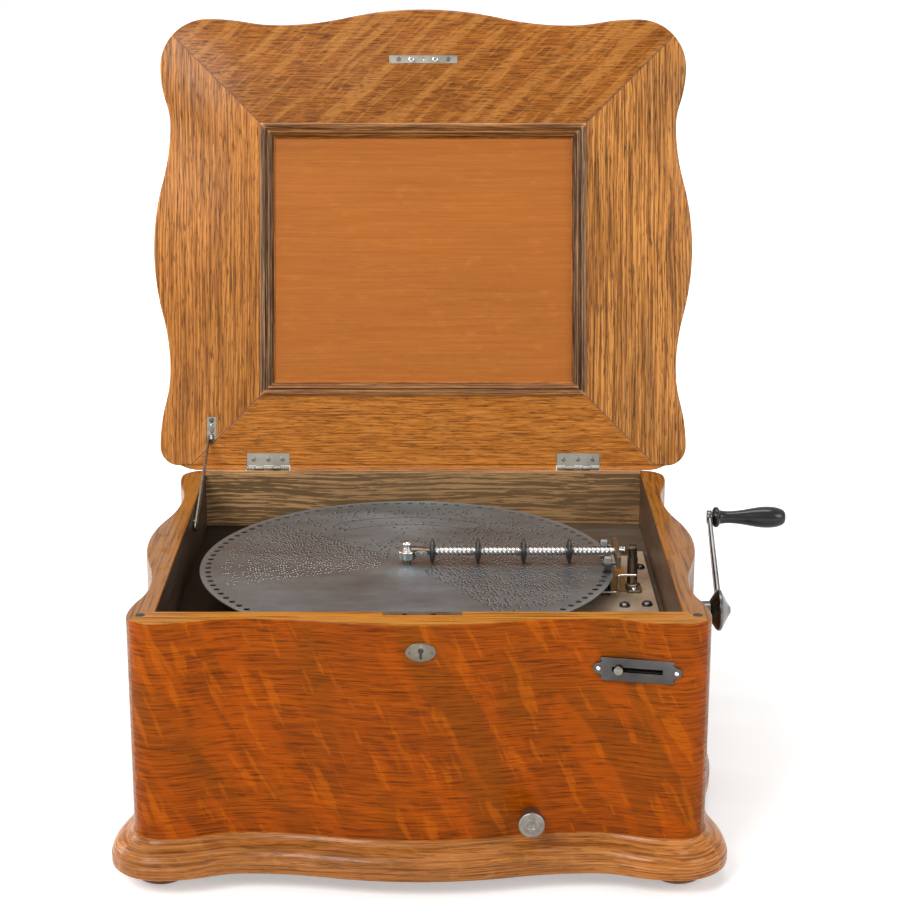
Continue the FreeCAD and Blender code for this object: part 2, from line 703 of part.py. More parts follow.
def make_lock():
    plate = striker_plate_solid()
    case = lock_pocket()
    for x in (-PEG_SPACING / 2, PEG_SPACING / 2):
        profile = [(0, 0), (0, PEG_RADIUS), (PEG_LENGTH - 2, PEG_RADIUS), (PEG_LENGTH, 0.7), (PEG_LENGTH, 0)]
        plate = plate.fuse(turned(profile, V(x, PEG_Y, LID_Z + 0.5), -Z_AXIS, COARSE_SIDES))
        hole = bore(PEG_HOLE_RADIUS, V(x, PEG_Y, RIM_Z - 14), V(x, PEG_Y, RIM_Z + 1), COARSE_SIDES)
        case = case.cut(hole)
    export("striker_plate", open_lid(plate))
    export("lock_case", case)

    # Keyhole: a round bow with a slot below it
    z = RIM_Z - ESCUTCHEON_BELOW_RIM
    x = ESCUTCHEON_X
    y = ESCUTCHEON_SEAT - BULGE_Y
    bow = rod(2.4, V(x, y - 3, z + 1.5), V(x, y + 1, z + 1.5), COARSE_SIDES)
    slot = box(x - 1.1, x + 1.1, y - 3, y + 1, z - 6, z + 1.5)
    export("escutcheon", escutcheon_solid().cut(bow.fuse(slot)))


# Slotted lid stay: bracket in the lid, bar, and stud in the left side
def stay_plate_solid():
    y0 = PIN_Y - STAY_PLATE_FROM_HINGE
    return box(STAY_X - 2.6, STAY_X + 7.4, y0, y0 + STAY_PLATE_LENGTH, LID_Z, LID_Z + 2)


def round_ended(half_thickness, half_width, y0, y1):
    """A flat bar along Y with round ends, centred on X and Z."""
    bar = box(-half_thickness, half_thickness, y0, y1, -half_width, half_width)
    for y in (y0, y1):
        bar = bar.fuse(bore_x(half_width, -half_thickness, half_thickness, y, 0, COARSE_SIDES))
    return bar


def make_stay():
    pivot_y = PIN_Y - STAY_PIVOT_FROM_HINGE
    pivot_z = LID_Z - STAY_PIVOT_DROP
    ear_x0 = STAY_X + STAY_HALF_THICKNESS + 0.3
    ear_x1 = ear_x0 + 2.5
    ear = box(ear_x0, ear_x1, pivot_y - 5, pivot_y + 5, pivot_z - 3, LID_Z)
    pivot = rod_x(STAY_PIVOT_RADIUS, STAY_X - 1.6, ear_x1 + 1, pivot_y, pivot_z)
    export("stay_bracket", open_lid(stay_plate_solid().fuse(ear).fuse(pivot)))

    opened = FreeCAD.Placement(V(0, 0, 0), FreeCAD.Rotation(X_AXIS, -LID_OPEN_ANGLE), V(0, PIN_Y, PIN_Z))
    pivot_open = opened.multVec(V(STAY_X, pivot_y, pivot_z))
    along = V(STAY_X, STAY_STUD_Y, STUD_Z) - pivot_open
    tilt = math.degrees(math.atan2(along.z, along.y))
    bar = round_ended(STAY_HALF_THICKNESS, STAY_HALF_WIDTH, 0, STAY_LENGTH)
    slot = round_ended(STAY_HALF_THICKNESS + 1, STAY_SLOT_HALF, along.Length - STAY_TRAVEL, along.Length + 2)
    bar = bar.cut(slot).cut(bore_x(STAY_PIVOT_RADIUS + RUNNING_FIT, -2, 2, 0, 0))
    bar.Placement = FreeCAD.Placement(pivot_open, FreeCAD.Rotation(X_AXIS, tilt))
    export("stay_bar", bar)

    stud_end = STAY_X - STAY_HALF_THICKNESS - 0.4
    export("stay_stud", rod_x(STUD_RADIUS, -INNER_HALF_WIDTH - STUD_DEPTH, stud_end, STAY_STUD_Y, STUD_Z))


# Tune disc with its ring of drive holes
def make_disc():
    centre = V(DISC_X, 0, DISC_UNDERSIDE)
    disc = rod(DISC_RADIUS, centre, centre + V(0, 0, DISC_THICKNESS), DRIVE_HOLES)
    tools = [bore(SPINDLE_RADIUS + 0.3, centre - Z_AXIS, centre + 3 * Z_AXIS)]
    corner_reach = DRIVE_HOLE_HALF * math.sqrt(2)
    # Each hole has four flats, as wide across as the round punch
    for i in range(DRIVE_HOLES):
        turn = 2 * math.pi * i / DRIVE_HOLES
        hole = centre + DRIVE_HOLE_CIRCLE * V(math.cos(turn), math.sin(turn), 0) - Z_AXIS
        points = []
        for k in range(4):
            angle = turn + math.pi * (k + 0.5) / 2
            points.append(hole + corner_reach * V(math.cos(angle), math.sin(angle), 0))
        tools.append(prism(points, V(0, 0, 3)))
    export("tune_disc", disc.cut(tools))


# Gear wheels with pointed teeth, drawn in the YZ plane round an X axis
def gear(teeth, module, first_tooth, x0, x1, y, z):
    """first_tooth is the direction of one tooth in degrees."""
    pitch_radius = module * teeth / 2
    tip = pitch_radius + TOOTH_TIP * module
    root = pitch_radius - TOOTH_ROOT * module
    points = []
    for i in range(2 * teeth):
        radius = root if i % 2 else tip
        angle = math.radians(first_tooth) + math.pi * i / teeth
        points.append(V(x0, y + radius * math.cos(angle), z + radius * math.sin(angle)))
    return prism(points, V(x1 - x0, 0, 0))


def meshing_tooth(angle, teeth, followed_tooth, followed_teeth):
    """Direction of a tooth that meshes: angle points from the followed axis to this one."""
    offset = (angle - followed_tooth) * followed_teeth / teeth
    return angle + 180 + offset + 180 / teeth


# Drive sprocket on its arbor, with the pinion that the great wheel turns
def make_sprocket():
    half = SPROCKET_THICKNESS / 2
    points = []
    for i in range(SPROCKET_TEETH):
        angle = math.pi / 2 + 2 * math.pi * i / SPROCKET_TEETH
        out = V(0, math.cos(angle), math.sin(angle))
        across = V(0, -math.sin(angle), math.cos(angle))
        centre = V(SPROCKET_X - half, 0, SPROCKET_Z)
        root = centre + out * (SPROCKET_RADIUS - SPROCKET_ROOT)
        tip = centre + out * (SPROCKET_RADIUS + SPROCKET_TIP)
        points.append(root - across * SPROCKET_TOOTH_ROOT_HALF)
        points.append(tip - across * SPROCKET_TOOTH_TIP_HALF)
        points.append(tip + across * SPROCKET_TOOTH_TIP_HALF)
        points.append(root + across * SPROCKET_TOOTH_ROOT_HALF)
    wheel = prism(points, V(SPROCKET_THICKNESS, 0, 0))
    tooth = meshing_tooth(BARREL_TO_SPROCKET, PINION_TEETH, 90.0, GREAT_TEETH)
    pinion = gear(PINION_TEETH, GEAR_MODULE, tooth, GREAT_X0, GREAT_X1, 0, SPROCKET_Z)
    arbor = rod_x(ARBOR_RADIUS, 150, 195, 0, SPROCKET_Z)
    export("drive_sprocket", arbor.fuse([wheel, pinion]))

    bearing = box(180, 194, -14, 14, BED_TOP, SPROCKET_Z + 12)
    inner = box(150, 156, -10, 10, BED_TOP, SPROCKET_Z + 9)
    arbor_bore = bore_x(ARBOR_RADIUS + RUNNING_FIT, 140, 200, 0, SPROCKET_Z)
    export("sprocket_bracket", group([bearing.cut(arbor_bore), inner.cut(arbor_bore)]))


# Star wheels on the bridge, under the tracks of the disc
def track_x(i):
    return DISC_X + FIRST_TRACK + i * TRACK_PITCH


def make_star_wheels():
    first = track_x(0) - 4
    last = track_x(NOTES - 1) + 4
    stars = []
    for i in range(NOTES):
        x = track_x(i) - STAR_WIDTH / 2
        points = []
        for k in range(2 * STAR_POINTS):
            radius = STAR_RADIUS * (STAR_ROOT if k % 2 else 1)
            angle = math.pi * k / STAR_POINTS + math.pi / 2
            points.append(V(x, radius * math.cos(angle), STAR_Z + radius * math.sin(angle)))
        stars.append(prism(points, V(STAR_WIDTH, 0, 0)))
    for x0, x1 in ((first - 6, first), (last, last + 4)):
        stars.append(rod_x(STAR_PIVOT_RADIUS, x0, x1, 0, STAR_Z, COARSE_SIDES))
    arbor = rod_x(STAR_CORE, first, last, 0, STAR_Z, 4)
    export("star_wheels", arbor.fuse(stars))

    x0 = first - 6
    x1 = last + 4
    bridge = box(x0, x1, -11, 11, BED_TOP, BED_TOP + 4)
    bridge = bridge.fuse(box(x0, first - 0.5, -5, 5, BED_TOP, STAR_Z + 4))
    bridge = bridge.fuse(box(last + 0.5, x1, -5, 5, BED_TOP, STAR_Z + 4))
    pivots = bore_x(STAR_PIVOT_RADIUS + RUNNING_FIT, x0 - 1, x1 + 1, 0, STAR_Z, COARSE_SIDES)
    export("star_bridge", bridge.cut(pivots))


# Two combs, front and rear, whose tines end at the star wheels
def make_combs():
    x0 = track_x(0) - 8
    x1 = track_x(NOTES - 1) + 8
    tip = STAR_RADIUS + COMB_GAP
    root_low = tip + COMB_LONG
    root_high = tip + COMB_SHORT
    outer = root_low + COMB_BODY
    under = STAR_Z - COMB_PLATE / 2
    for name, sign in (("front_comb", -1), ("rear_comb", 1)):
        points = [(x0, outer), (x1, outer), (x1, root_high), (x0, root_low)]
        comb = prism([V(x, sign * y, under) for x, y in points], V(0, 0, COMB_PLATE))
        pieces = []
        for i in range(NOTES):
            x = track_x(i)
            root = root_low + (root_high - root_low) * (x - x0) / (x1 - x0) + 1
            ends = sorted([sign * tip, sign * root])
            pieces.append(box(x - TINE_WIDTH / 2, x + TINE_WIDTH / 2, ends[0], ends[1],
                              STAR_Z - TINE_THICKNESS / 2, STAR_Z + TINE_THICKNESS / 2))
        rest = sorted([sign * (root_low + 4), sign * outer])
        pieces.append(box(x0, x1, rest[0], rest[1], BED_TOP, under))
        export(name, comb.fuse(pieces))


# Iron bed, its screws, the disc's centre spindle and the sound board below
def bed_slots(z0, z1):
    """Openings for the great wheel and the sprocket between two heights."""
    reach = GEAR_MODULE * (GREAT_TEETH / 2 + TOOTH_TIP) + 2
    half = math.sqrt(max(reach ** 2 - (z0 - BARREL_Z) ** 2, 4.0))
    wheel = box(GREAT_X0 - 1.5, GREAT_X1 + 1.5, min(BARREL_Y - half, -14), BARREL_Y + half, z0, z1)
    sprocket_half = SPROCKET_RADIUS + 4.5
    sprocket_x = SPROCKET_THICKNESS / 2 + 1.5
    sprocket = box(SPROCKET_X - sprocket_x, SPROCKET_X + sprocket_x, -sprocket_half, sprocket_half, z0, z1)
    return wheel.fuse(sprocket)


def make_bed():
    bed = box(BED_X0, BED_X1, -BED_HALF_Y, BED_HALF_Y, BED_BOTTOM, BED_TOP)
    for sign in (-1, 1):
        cut_off = [
            V(BED_X0, sign * BED_HALF_Y, BED_BOTTOM),
            V(BED_X0 + BED_CORNER, sign * BED_HALF_Y, BED_BOTTOM),
            V(BED_X0, sign * 40, BED_BOTTOM),
        ]
        bed = bed.cut(prism(cut_off, V(0, 0, BED_THICKNESS)))
    channel = box(149, 196, -5, 5, BED_TOP - BED_CHANNEL, BED_TOP)
    export("bed_plate", bed.cut(bed_slots(BED_BOTTOM, BED_TOP)).cut(channel))

    heads = [(190.3, -53.4), (211.5, -50.7), (213.6, 53.5), (-33, 0), (120, -98), (120, 98)]
    export("bed_screws", group([screw_head(V(x, y, BED_TOP), Z_AXIS, 5.2, 4.0) for x, y in heads]))

    board = box(-INNER_HALF_WIDTH, INNER_HALF_WIDTH, -INNER_HALF_DEPTH, INNER_HALF_DEPTH,
                SOUND_BOARD_BOTTOM, BED_BOTTOM)
    pinion_slot = box(WINDING_X0 - 1.5, WINDING_X1 + 1.5, -19, 19, SOUND_BOARD_BOTTOM, BED_BOTTOM)
    export("sound_board", board.cut(bed_slots(SOUND_BOARD_BOTTOM, BED_BOTTOM)).cut(pinion_slot))

    top = ARM_Z + 2 - BED_TOP
    shoulder = DISC_UNDERSIDE - 0.1 - BED_TOP
    profile = [
        (0, 0),
        (0, SPINDLE_FOOT),
        (3, SPINDLE_FOOT),
        (3, SPINDLE_COLLAR),
        (shoulder, SPINDLE_COLLAR),
        (shoulder, SPINDLE_RADIUS),
        (top, SPINDLE_RADIUS - 0.6),
        (top, 0),
    ]
    export("centre_spindle", turned(profile, V(DISC_X, 0, BED_TOP), Z_AXIS))


# Pressure arm: twisted bar between the hub over the disc and the hinge on the post
def twisted_bar(start, end):
    """A square bar along X, twisted, with flat triangles between its rings."""
    steps = max(2, round((end - start) / BAR_TWIST_PITCH * BAR_STEPS_PER_TURN))
    reach = BAR_SIDE / math.sqrt(2)
    rings = []
    for k in range(steps + 1):
        x = start + (end - start) * k / steps
        turn = 2 * math.pi * k / BAR_STEPS_PER_TURN + math.pi / 4
        angles = [turn + math.pi * c / 2 for c in range(4)]
        rings.append([V(x, reach * math.cos(a), ARM_Z + reach * math.sin(a)) for a in angles])
    faces = [polygon_face(rings[0]), polygon_face(rings[-1])]
    for ring, following in zip(rings[:-1], rings[1:]):
        for c in range(4):
            after = (c + 1) % 4
            faces.append(polygon_face([ring[c], ring[after], following[c]]))
            faces.append(polygon_face([ring[after], following[after], following[c]]))
    return closed_solid(faces)


def make_arm():
    # Round seats carry the rollers, and the stretches between them are twisted square bar
    pieces = []
    for x in ROLLER_XS:
        pieces.append(rod_x(ROLLER_BORE - RUNNING_FIT, x - ROLLER_SEAT, x + ROLLER_SEAT, 0, ARM_Z, SIDES))
    starts = [x + ROLLER_SEAT for x in ROLLER_XS]
    ends = [x - ROLLER_SEAT for x in ROLLER_XS[1:]] + [BAR_END_X]
    for start, end in zip(starts, ends):
        pieces.append(twisted_bar(start, end))
    # The flat carrier of the edge rollers and the tongue that the post's fork holds
    carrier = box(BAR_END_X, BAR_END_X + CARRIER, -EDGE_ROLLER_Y - 5, EDGE_ROLLER_Y + 5,
                  EDGE_ROLLER_Z - 4, ARM_Z + 4)
    for y in (-EDGE_ROLLER_Y, EDGE_ROLLER_Y):
        pieces.append(rod_x(EDGE_AXLE_RADIUS, SPROCKET_X - 4, BAR_END_X, y, EDGE_ROLLER_Z, COARSE_SIDES))
    tongue = box(BAR_END_X + CARRIER, POST_X, -FORK_HALF, FORK_HALF, ARM_Z - 4, ARM_Z + 4)
    tongue = tongue.fuse(rod(4.0, V(POST_X, -FORK_HALF, ARM_Z), V(POST_X, FORK_HALF, ARM_Z)))
    pieces.append(tongue.cut(bore(PIVOT_RADIUS + RUNNING_FIT, V(POST_X, -9, ARM_Z), V(POST_X, 9, ARM_Z))))
    export("arm_bar", carrier.fuse(pieces))

    # Round cup over the spindle, with a turned finial and the block that holds the bar
    profile = [(0, 0), (0, 7), (2, 8.5), (9, 8.5), (12, 3.2), (14, 4), (17, 3.2), (18, 0)]
    cup = turned(profile, V(DISC_X, 0, ARM_Z - 8), Z_AXIS)
    cup = cup.fuse(box(DISC_X, HUB_END_X, -6, 6, ARM_Z - 5, ARM_Z + 5))
    cup = cup.fuse(rod(1.2, V(0, -8.6, ARM_Z), V(0, -5, ARM_Z), COARSE_SIDES))
    socket = bore(SPINDLE_RADIUS + 0.4, V(DISC_X, 0, ARM_Z - 10), V(DISC_X, 0, ARM_Z + 2.5))
    export("arm_hub", cup.cut(socket))

    latch = box(-6.2, 6.2, -8.1, -6.4, ARM_Z - 2, ARM_Z + 2)
    latch = latch.fuse(rod(2.8, V(0, -8.1, ARM_Z), V(0, -6.4, ARM_Z), COARSE_SIDES))
    export("hub_latch", latch.cut(bore(1.2 + RUNNING_FIT, V(0, -9, ARM_Z), V(0, -6, ARM_Z), COARSE_SIDES)))

    for name, y in (("edge_roller_front", -EDGE_ROLLER_Y), ("edge_roller_rear", EDGE_ROLLER_Y)):
        x0 = SPROCKET_X - EDGE_ROLLER_HALF
        x1 = SPROCKET_X + EDGE_ROLLER_HALF
        roller = rod_x(EDGE_ROLLER_RADIUS, x0, x1, y, EDGE_ROLLER_Z, FINE_SIDES)
        axle_bore = bore_x(EDGE_AXLE_RADIUS + RUNNING_FIT, x0 - 1, x1 + 1, y, EDGE_ROLLER_Z, COARSE_SIDES)
        export(name, roller.cut(axle_bore))

    edge = ROLLER_WIDTH / 2
    inner = ROLLER_BORE / math.cos(math.pi / SIDES)
    profile = [
        (-edge, inner),
        (-edge, ROLLER_RADIUS - 3),
        (0, ROLLER_RADIUS),
        (edge, ROLLER_RADIUS - 3),
        (edge, inner),
    ]
    export("arm_rollers", group([turned(profile, V(x, 0, ARM_Z), X_AXIS) for x in ROLLER_XS]))


def make_post():
    top = ARM_Z + 2 - BED_TOP
    profile = [(0, 0), (0, POST_RADIUS), (top, POST_RADIUS), (top + 3.5, 3), (top + 4.5, 0)]
    post = turned(profile, V(POST_X, 0, BED_TOP), Z_AXIS)
    gap = FORK_HALF + 0.15
    post = post.cut(box(POST_X - 20, POST_X + 20, -gap, gap, ARM_Z - 6, ARM_Z + 20))
    foot = box(POST_X - 6, POST_X + 8, -19, 6, BED_TOP, BED_TOP + 2.5)
    pin = rod(PIVOT_RADIUS, V(POST_X, -POST_RADIUS + 0.5, ARM_Z), V(POST_X, POST_RADIUS - 0.5, ARM_Z))
    screw = screw_head(V(POST_X + 1, -13, BED_TOP + 2.5), Z_AXIS, 3.6, 2.0)
    export("arm_post", post.fuse([foot, pin, screw]))


# Start and stop: slider in the front plate, and the bent wire that it moves
def start_piece(shape):
    """Carries a shape from the plate's own frame, X along the plate, to its place."""
    placed = shape.copy()
    placed.Placement = FreeCAD.Placement(V(START_X, START_Y, START_Z), FreeCAD.Rotation(Z_AXIS, START_TURN))
    return placed


def make_start():
    plate = box(-START_HALF_X, START_HALF_X, -START_PLATE, 0, -START_HALF_Z, START_HALF_Z)
    slot = box(-START_SLOT_HALF_X, START_SLOT_HALF_X, -9, 9, -START_SLOT_HALF_Z, START_SLOT_HALF_Z)
    export("start_plate", start_piece(plate.cut(slot)))

    knob = rod(START_KNOB_RADIUS, V(START_KNOB, -START_PLATE - 4, 0), V(START_KNOB, -START_PLATE - 0.3, 0))
    stem = box(START_KNOB - 2, START_KNOB + 2, -START_PLATE - 1, 36, -1.7, 1.7)
    shoe = box(START_KNOB - 6, START_KNOB + 6, 33, 36, -5, 5)
    export("start_slider", start_piece(knob.fuse([stem, shoe])))

    high = BED_TOP + STOP_WIRE_ABOVE_BED
    low = BED_TOP + 3
    route = [V(203, STOP_WIRE_Y, high), V(186, STOP_WIRE_Y, high),
             V(186, STOP_WIRE_Y, low), V(168, STOP_WIRE_Y, low)]
    pieces = [rod(STOP_WIRE_RADIUS, a, b, 6) for a, b in zip(route[:-1], route[1:])]
    for bend in route[1:-1]:
        r = STOP_WIRE_RADIUS * 0.9
        pieces.append(box(bend.x - r, bend.x + r, bend.y - r, bend.y + r, bend.z - r, bend.z + r))
    export("stop_wire", pieces[0].fuse(pieces[1:]))


# Crank, its grip, the shaft with the winding pinion and the bush in the side
def make_crank():
    boss = turned([(-9, 0), (-9, 8), (-1.5, 20), (1.5, 20), (10, 4), (11, 0)],
                  V(CRANK_ARM_X, 0, CRANK_Z), X_AXIS, FINE_SIDES)
    sleeve = rod_x(9.0, BULGE_X + 3.5, CRANK_ARM_X - 8, 0, CRANK_Z, FINE_SIDES)
    angle = math.radians(CRANK_ANGLE)
    along = V(0, math.cos(angle), math.sin(angle))
    across = V(0, -math.sin(angle), math.cos(angle))
    centre = V(CRANK_ARM_X - CRANK_ARM_HALF, 0, CRANK_Z)
    end = centre + along * CRANK_LENGTH
    arm = prism([centre + across * 8, centre - across * 8, end - across * 5.5, end + across * 5.5],
                V(2 * CRANK_ARM_HALF, 0, 0))
    eye = rod_x(7.0, CRANK_ARM_X - CRANK_ARM_HALF, CRANK_ARM_X + CRANK_ARM_HALF, CRANK_END_Y, CRANK_END_Z)
    axle = rod_x(GRIP_AXLE_RADIUS, CRANK_ARM_X, GRIP_X1 - 12, CRANK_END_Y, CRANK_END_Z)
    shaft = rod_x(SHAFT_RADIUS, PLATE_RIGHT_X - 2, CRANK_ARM_X, 0, CRANK_Z, FINE_SIDES)
    export("crank_arm", boss.fuse([sleeve, arm, eye, axle]).cut(shaft))

    # The winding pinion stands where it meshes with the wheel on the barrel's arbor
    tooth = meshing_tooth(BARREL_TO_CRANK, WINDING_PINION_TEETH, 90.0, WINDING_WHEEL_TEETH)
    pinion = gear(WINDING_PINION_TEETH, GEAR_MODULE, tooth, WINDING_X0, WINDING_X1, 0, CRANK_Z)
    export("crank_shaft", shaft.fuse(pinion))

    inner = (GRIP_AXLE_RADIUS + RUNNING_FIT) / math.cos(math.pi / FINE_SIDES)
    profile = [
        (0, inner),
        (0, 7.5),
        (2.5, 10.2),
        (6.5, 10.2),
        (9, 6.8),
        (18, 6.2),
        (32, 7.6),
        (48, 10.3),
        (58, 10.6),
        (68, 8.8),
        (GRIP_LENGTH, 4.0),
        (GRIP_LENGTH, 0),
        (GRIP_LENGTH - 11, 0),
        (GRIP_LENGTH - 11, inner),
    ]
    export("crank_grip", turned(profile, V(GRIP_X0, CRANK_END_Y, CRANK_END_Z), X_AXIS, FINE_SIDES))

    flange_x = BULGE_X + 0.1
    bush = rod_x(BUSH_RADIUS, INNER_HALF_WIDTH, flange_x, 0, CRANK_Z, FINE_SIDES)
    flange = rod_x(FLANGE_RADIUS, flange_x, flange_x + 2.5, 0, CRANK_Z, FINE_SIDES)
    shaft_bore = bore_x(SHAFT_RADIUS + RUNNING_FIT, 200, 300, 0, CRANK_Z, FINE_SIDES)
    export("crank_bush", bush.fuse(flange).cut(shaft_bore))


# Spring motor between two plates that hang from the sound board
def make_motor():
    clear = ARBOR_RADIUS + RUNNING_FIT
    inner = clear / math.cos(math.pi / FINE_SIDES)
    drum = turned([
        (0, inner),
        (0, BARREL_RADIUS),
        (BARREL_WIDTH, BARREL_RADIUS),
        (BARREL_WIDTH, BARREL_SLEEVE),
        (GREAT_X0 - BARREL_X0, BARREL_SLEEVE),
        (GREAT_X0 - BARREL_X0, inner),
        (BARREL_WIDTH - BARREL_WALL, inner),
        (BARREL_WIDTH - BARREL_WALL, BARREL_RADIUS - BARREL_WALL),
        (BARREL_WALL, BARREL_RADIUS - BARREL_WALL),
        (BARREL_WALL, inner),
    ], V(BARREL_X0, BARREL_Y, BARREL_Z), X_AXIS, FINE_SIDES)
    great = gear(GREAT_TEETH, GEAR_MODULE, 90.0, GREAT_X0, GREAT_X1, BARREL_Y, BARREL_Z)
    great = great.cut(bore_x(clear, GREAT_X0 - 1, GREAT_X1 + 1, BARREL_Y, BARREL_Z, FINE_SIDES))
    export("spring_barrel", drum.fuse(great))

    coil_x0 = BARREL_X0 + BARREL_WALL + 0.5
    coil_x1 = BARREL_X0 + BARREL_WIDTH - BARREL_WALL - 0.5
    outer_radius = BARREL_RADIUS - BARREL_WALL - 0.5
    coil = rod_x(outer_radius, coil_x0, coil_x1, BARREL_Y, BARREL_Z, FINE_SIDES)
    coil = coil.cut(rod_x(MAINSPRING_INNER, coil_x0 - 1, coil_x1 + 1, BARREL_Y, BARREL_Z, FINE_SIDES))
    export("mainspring", coil)

    arbor = rod_x(ARBOR_RADIUS, PLATE_LEFT_X - 2, WINDING_X1 + 2, BARREL_Y, BARREL_Z)
    wheel = gear(WINDING_WHEEL_TEETH, GEAR_MODULE, 90.0, WINDING_X0, WINDING_X1, BARREL_Y, BARREL_Z)
    ratchet_x = PLATE_RIGHT_X + PLATE + 0.5
    ratchet_points = []
    for i in range(RATCHET_TEETH):
        start = 2 * math.pi * i / RATCHET_TEETH
        for radius, angle in ((RATCHET_RADIUS - RATCHET_DEPTH, start), (RATCHET_RADIUS, start + 0.02)):
            ratchet_points.append(V(ratchet_x, BARREL_Y + radius * math.cos(angle),
                                    BARREL_Z + radius * math.sin(angle)))
    ratchet = prism(ratchet_points, V(WINDING_X0 - ratchet_x, 0, 0))
    export("winding_wheel", arbor.fuse([wheel, ratchet]))

    # The click pivots on the right plate and stands just clear of the ratchet's tips
    click_x1 = ratchet_x + CLICK_THICKNESS
    tip_y = BARREL_Y + RATCHET_RADIUS + 0.6
    pivot = rod_x(4.0, ratchet_x, click_x1, CLICK_Y, CLICK_Z)
    nose = prism([V(ratchet_x, tip_y, BARREL_Z + 1), V(ratchet_x, tip_y, BARREL_Z + 5),
                  V(ratchet_x, CLICK_Y + 2, CLICK_Z + 3), V(ratchet_x, CLICK_Y + 3, CLICK_Z - 2)],
                 V(CLICK_THICKNESS, 0, 0))
    click_bore = bore_x(2.0 + RUNNING_FIT, ratchet_x - 5, click_x1 + 5, CLICK_Y, CLICK_Z, COARSE_SIDES)
    export("click", pivot.fuse(nose).cut(click_bore))

    plate_end = PLATE_RIGHT_X + PLATE + 2
    tooth = meshing_tooth(RELAY_ANGLE, PINION_TEETH, 90.0, GREAT_TEETH)
    relay = rod_x(ARBOR_RADIUS, PLATE_LEFT_X - 2, plate_end, RELAY_Y, RELAY_Z)
    pinion = gear(PINION_TEETH, GEAR_MODULE, tooth, GREAT_X0, GREAT_X1, RELAY_Y, RELAY_Z)
    wheel = gear(RELAY_WHEEL_TEETH, GOVERNOR_MODULE, 180.0, RELAY_X0, RELAY_X1, RELAY_Y, RELAY_Z)
    export("relay_wheel", relay.fuse([pinion, wheel]))

    tooth = meshing_tooth(180.0, GOVERNOR_PINION_TEETH, 180.0, RELAY_WHEEL_TEETH)
    fly = rod_x(FLY_ARBOR_RADIUS, PLATE_LEFT_X - 2, plate_end, GOVERNOR_Y, GOVERNOR_Z, COARSE_SIDES)
    pinion = gear(GOVERNOR_PINION_TEETH, GOVERNOR_MODULE, tooth, RELAY_X0 - 1, RELAY_X1 + 1,
                  GOVERNOR_Y, GOVERNOR_Z)
    blade = box(FLY_X0, FLY_X1, GOVERNOR_Y - 1, GOVERNOR_Y + 1, GOVERNOR_Z - FLY_RADIUS, GOVERNOR_Z + FLY_RADIUS)
    export("governor_fly", fly.fuse([pinion, blade]))

    for name, x in (("motor_plate_left", PLATE_LEFT_X), ("motor_plate_right", PLATE_RIGHT_X)):
        plate = box(x, x + PLATE, MOTOR_Y0, MOTOR_Y1, MOTOR_BOTTOM, SOUND_BOARD_BOTTOM)
        plate = plate.cut(bore_x(clear, x - 1, x + PLATE + 1, BARREL_Y, BARREL_Z))
        plate = plate.cut(bore_x(clear, x - 1, x + PLATE + 1, RELAY_Y, RELAY_Z))
        fly_clear = FLY_ARBOR_RADIUS + RUNNING_FIT
        plate = plate.cut(bore_x(fly_clear, x - 1, x + PLATE + 1, GOVERNOR_Y, GOVERNOR_Z, COARSE_SIDES))
        if x == PLATE_RIGHT_X:
            plate = plate.cut(bore_x(SHAFT_RADIUS + RUNNING_FIT, x - 5, x + PLATE + 1, 0, CRANK_Z, FINE_SIDES))
            plate = plate.fuse(rod_x(2.0, x + PLATE, click_x1, CLICK_Y, CLICK_Z, COARSE_SIDES))
        export(name, plate)

    pillars = []
    for y in (MOTOR_Y0 + PILLAR_INSET, MOTOR_Y1 - PILLAR_INSET):
        for z in (MOTOR_BOTTOM + PILLAR_INSET, SOUND_BOARD_BOTTOM - PILLAR_INSET):
            pillars.append(rod_x(PILLAR_RADIUS, PLATE_LEFT_X + PLATE, PLATE_RIGHT_X, y, z))
    export("motor_pillars", group(pillars))


# Speed knob on the front, whose shaft reaches toward the governor
def make_knob():
    face_y = -(BULGE_Y - 6) - KNOB_STANDS_OUT
    profile = [
        (0, 0),
        (0, KNOB_RADIUS - 1.5),
        (2, KNOB_RADIUS),
        (5, KNOB_RADIUS),
        (7, KNOB_RADIUS - 2),
        (KNOB_STANDS_OUT, KNOB_RADIUS - 3.5),
        (KNOB_STANDS_OUT, KNOB_SHAFT),
        (KNOB_SHAFT_LENGTH, KNOB_SHAFT),
        (KNOB_SHAFT_LENGTH, 0),
    ]
    export("speed_knob", turned(profile, V(KNOB_X, face_y, KNOB_Z), Y_AXIS))


make_case()
make_plinth()
make_lid()
make_hinges()
make_lock()
make_stay()
make_disc()
make_sprocket()
make_star_wheels()
make_combs()
make_bed()
make_arm()
make_post()
make_start()
make_crank()
make_motor()
make_knob()
print("frame origin", round(ORIGIN_X, 3), round(ORIGIN_Y, 3))
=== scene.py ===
import bpy
import bmesh
import math
import random
from mathutils import Matrix, Vector


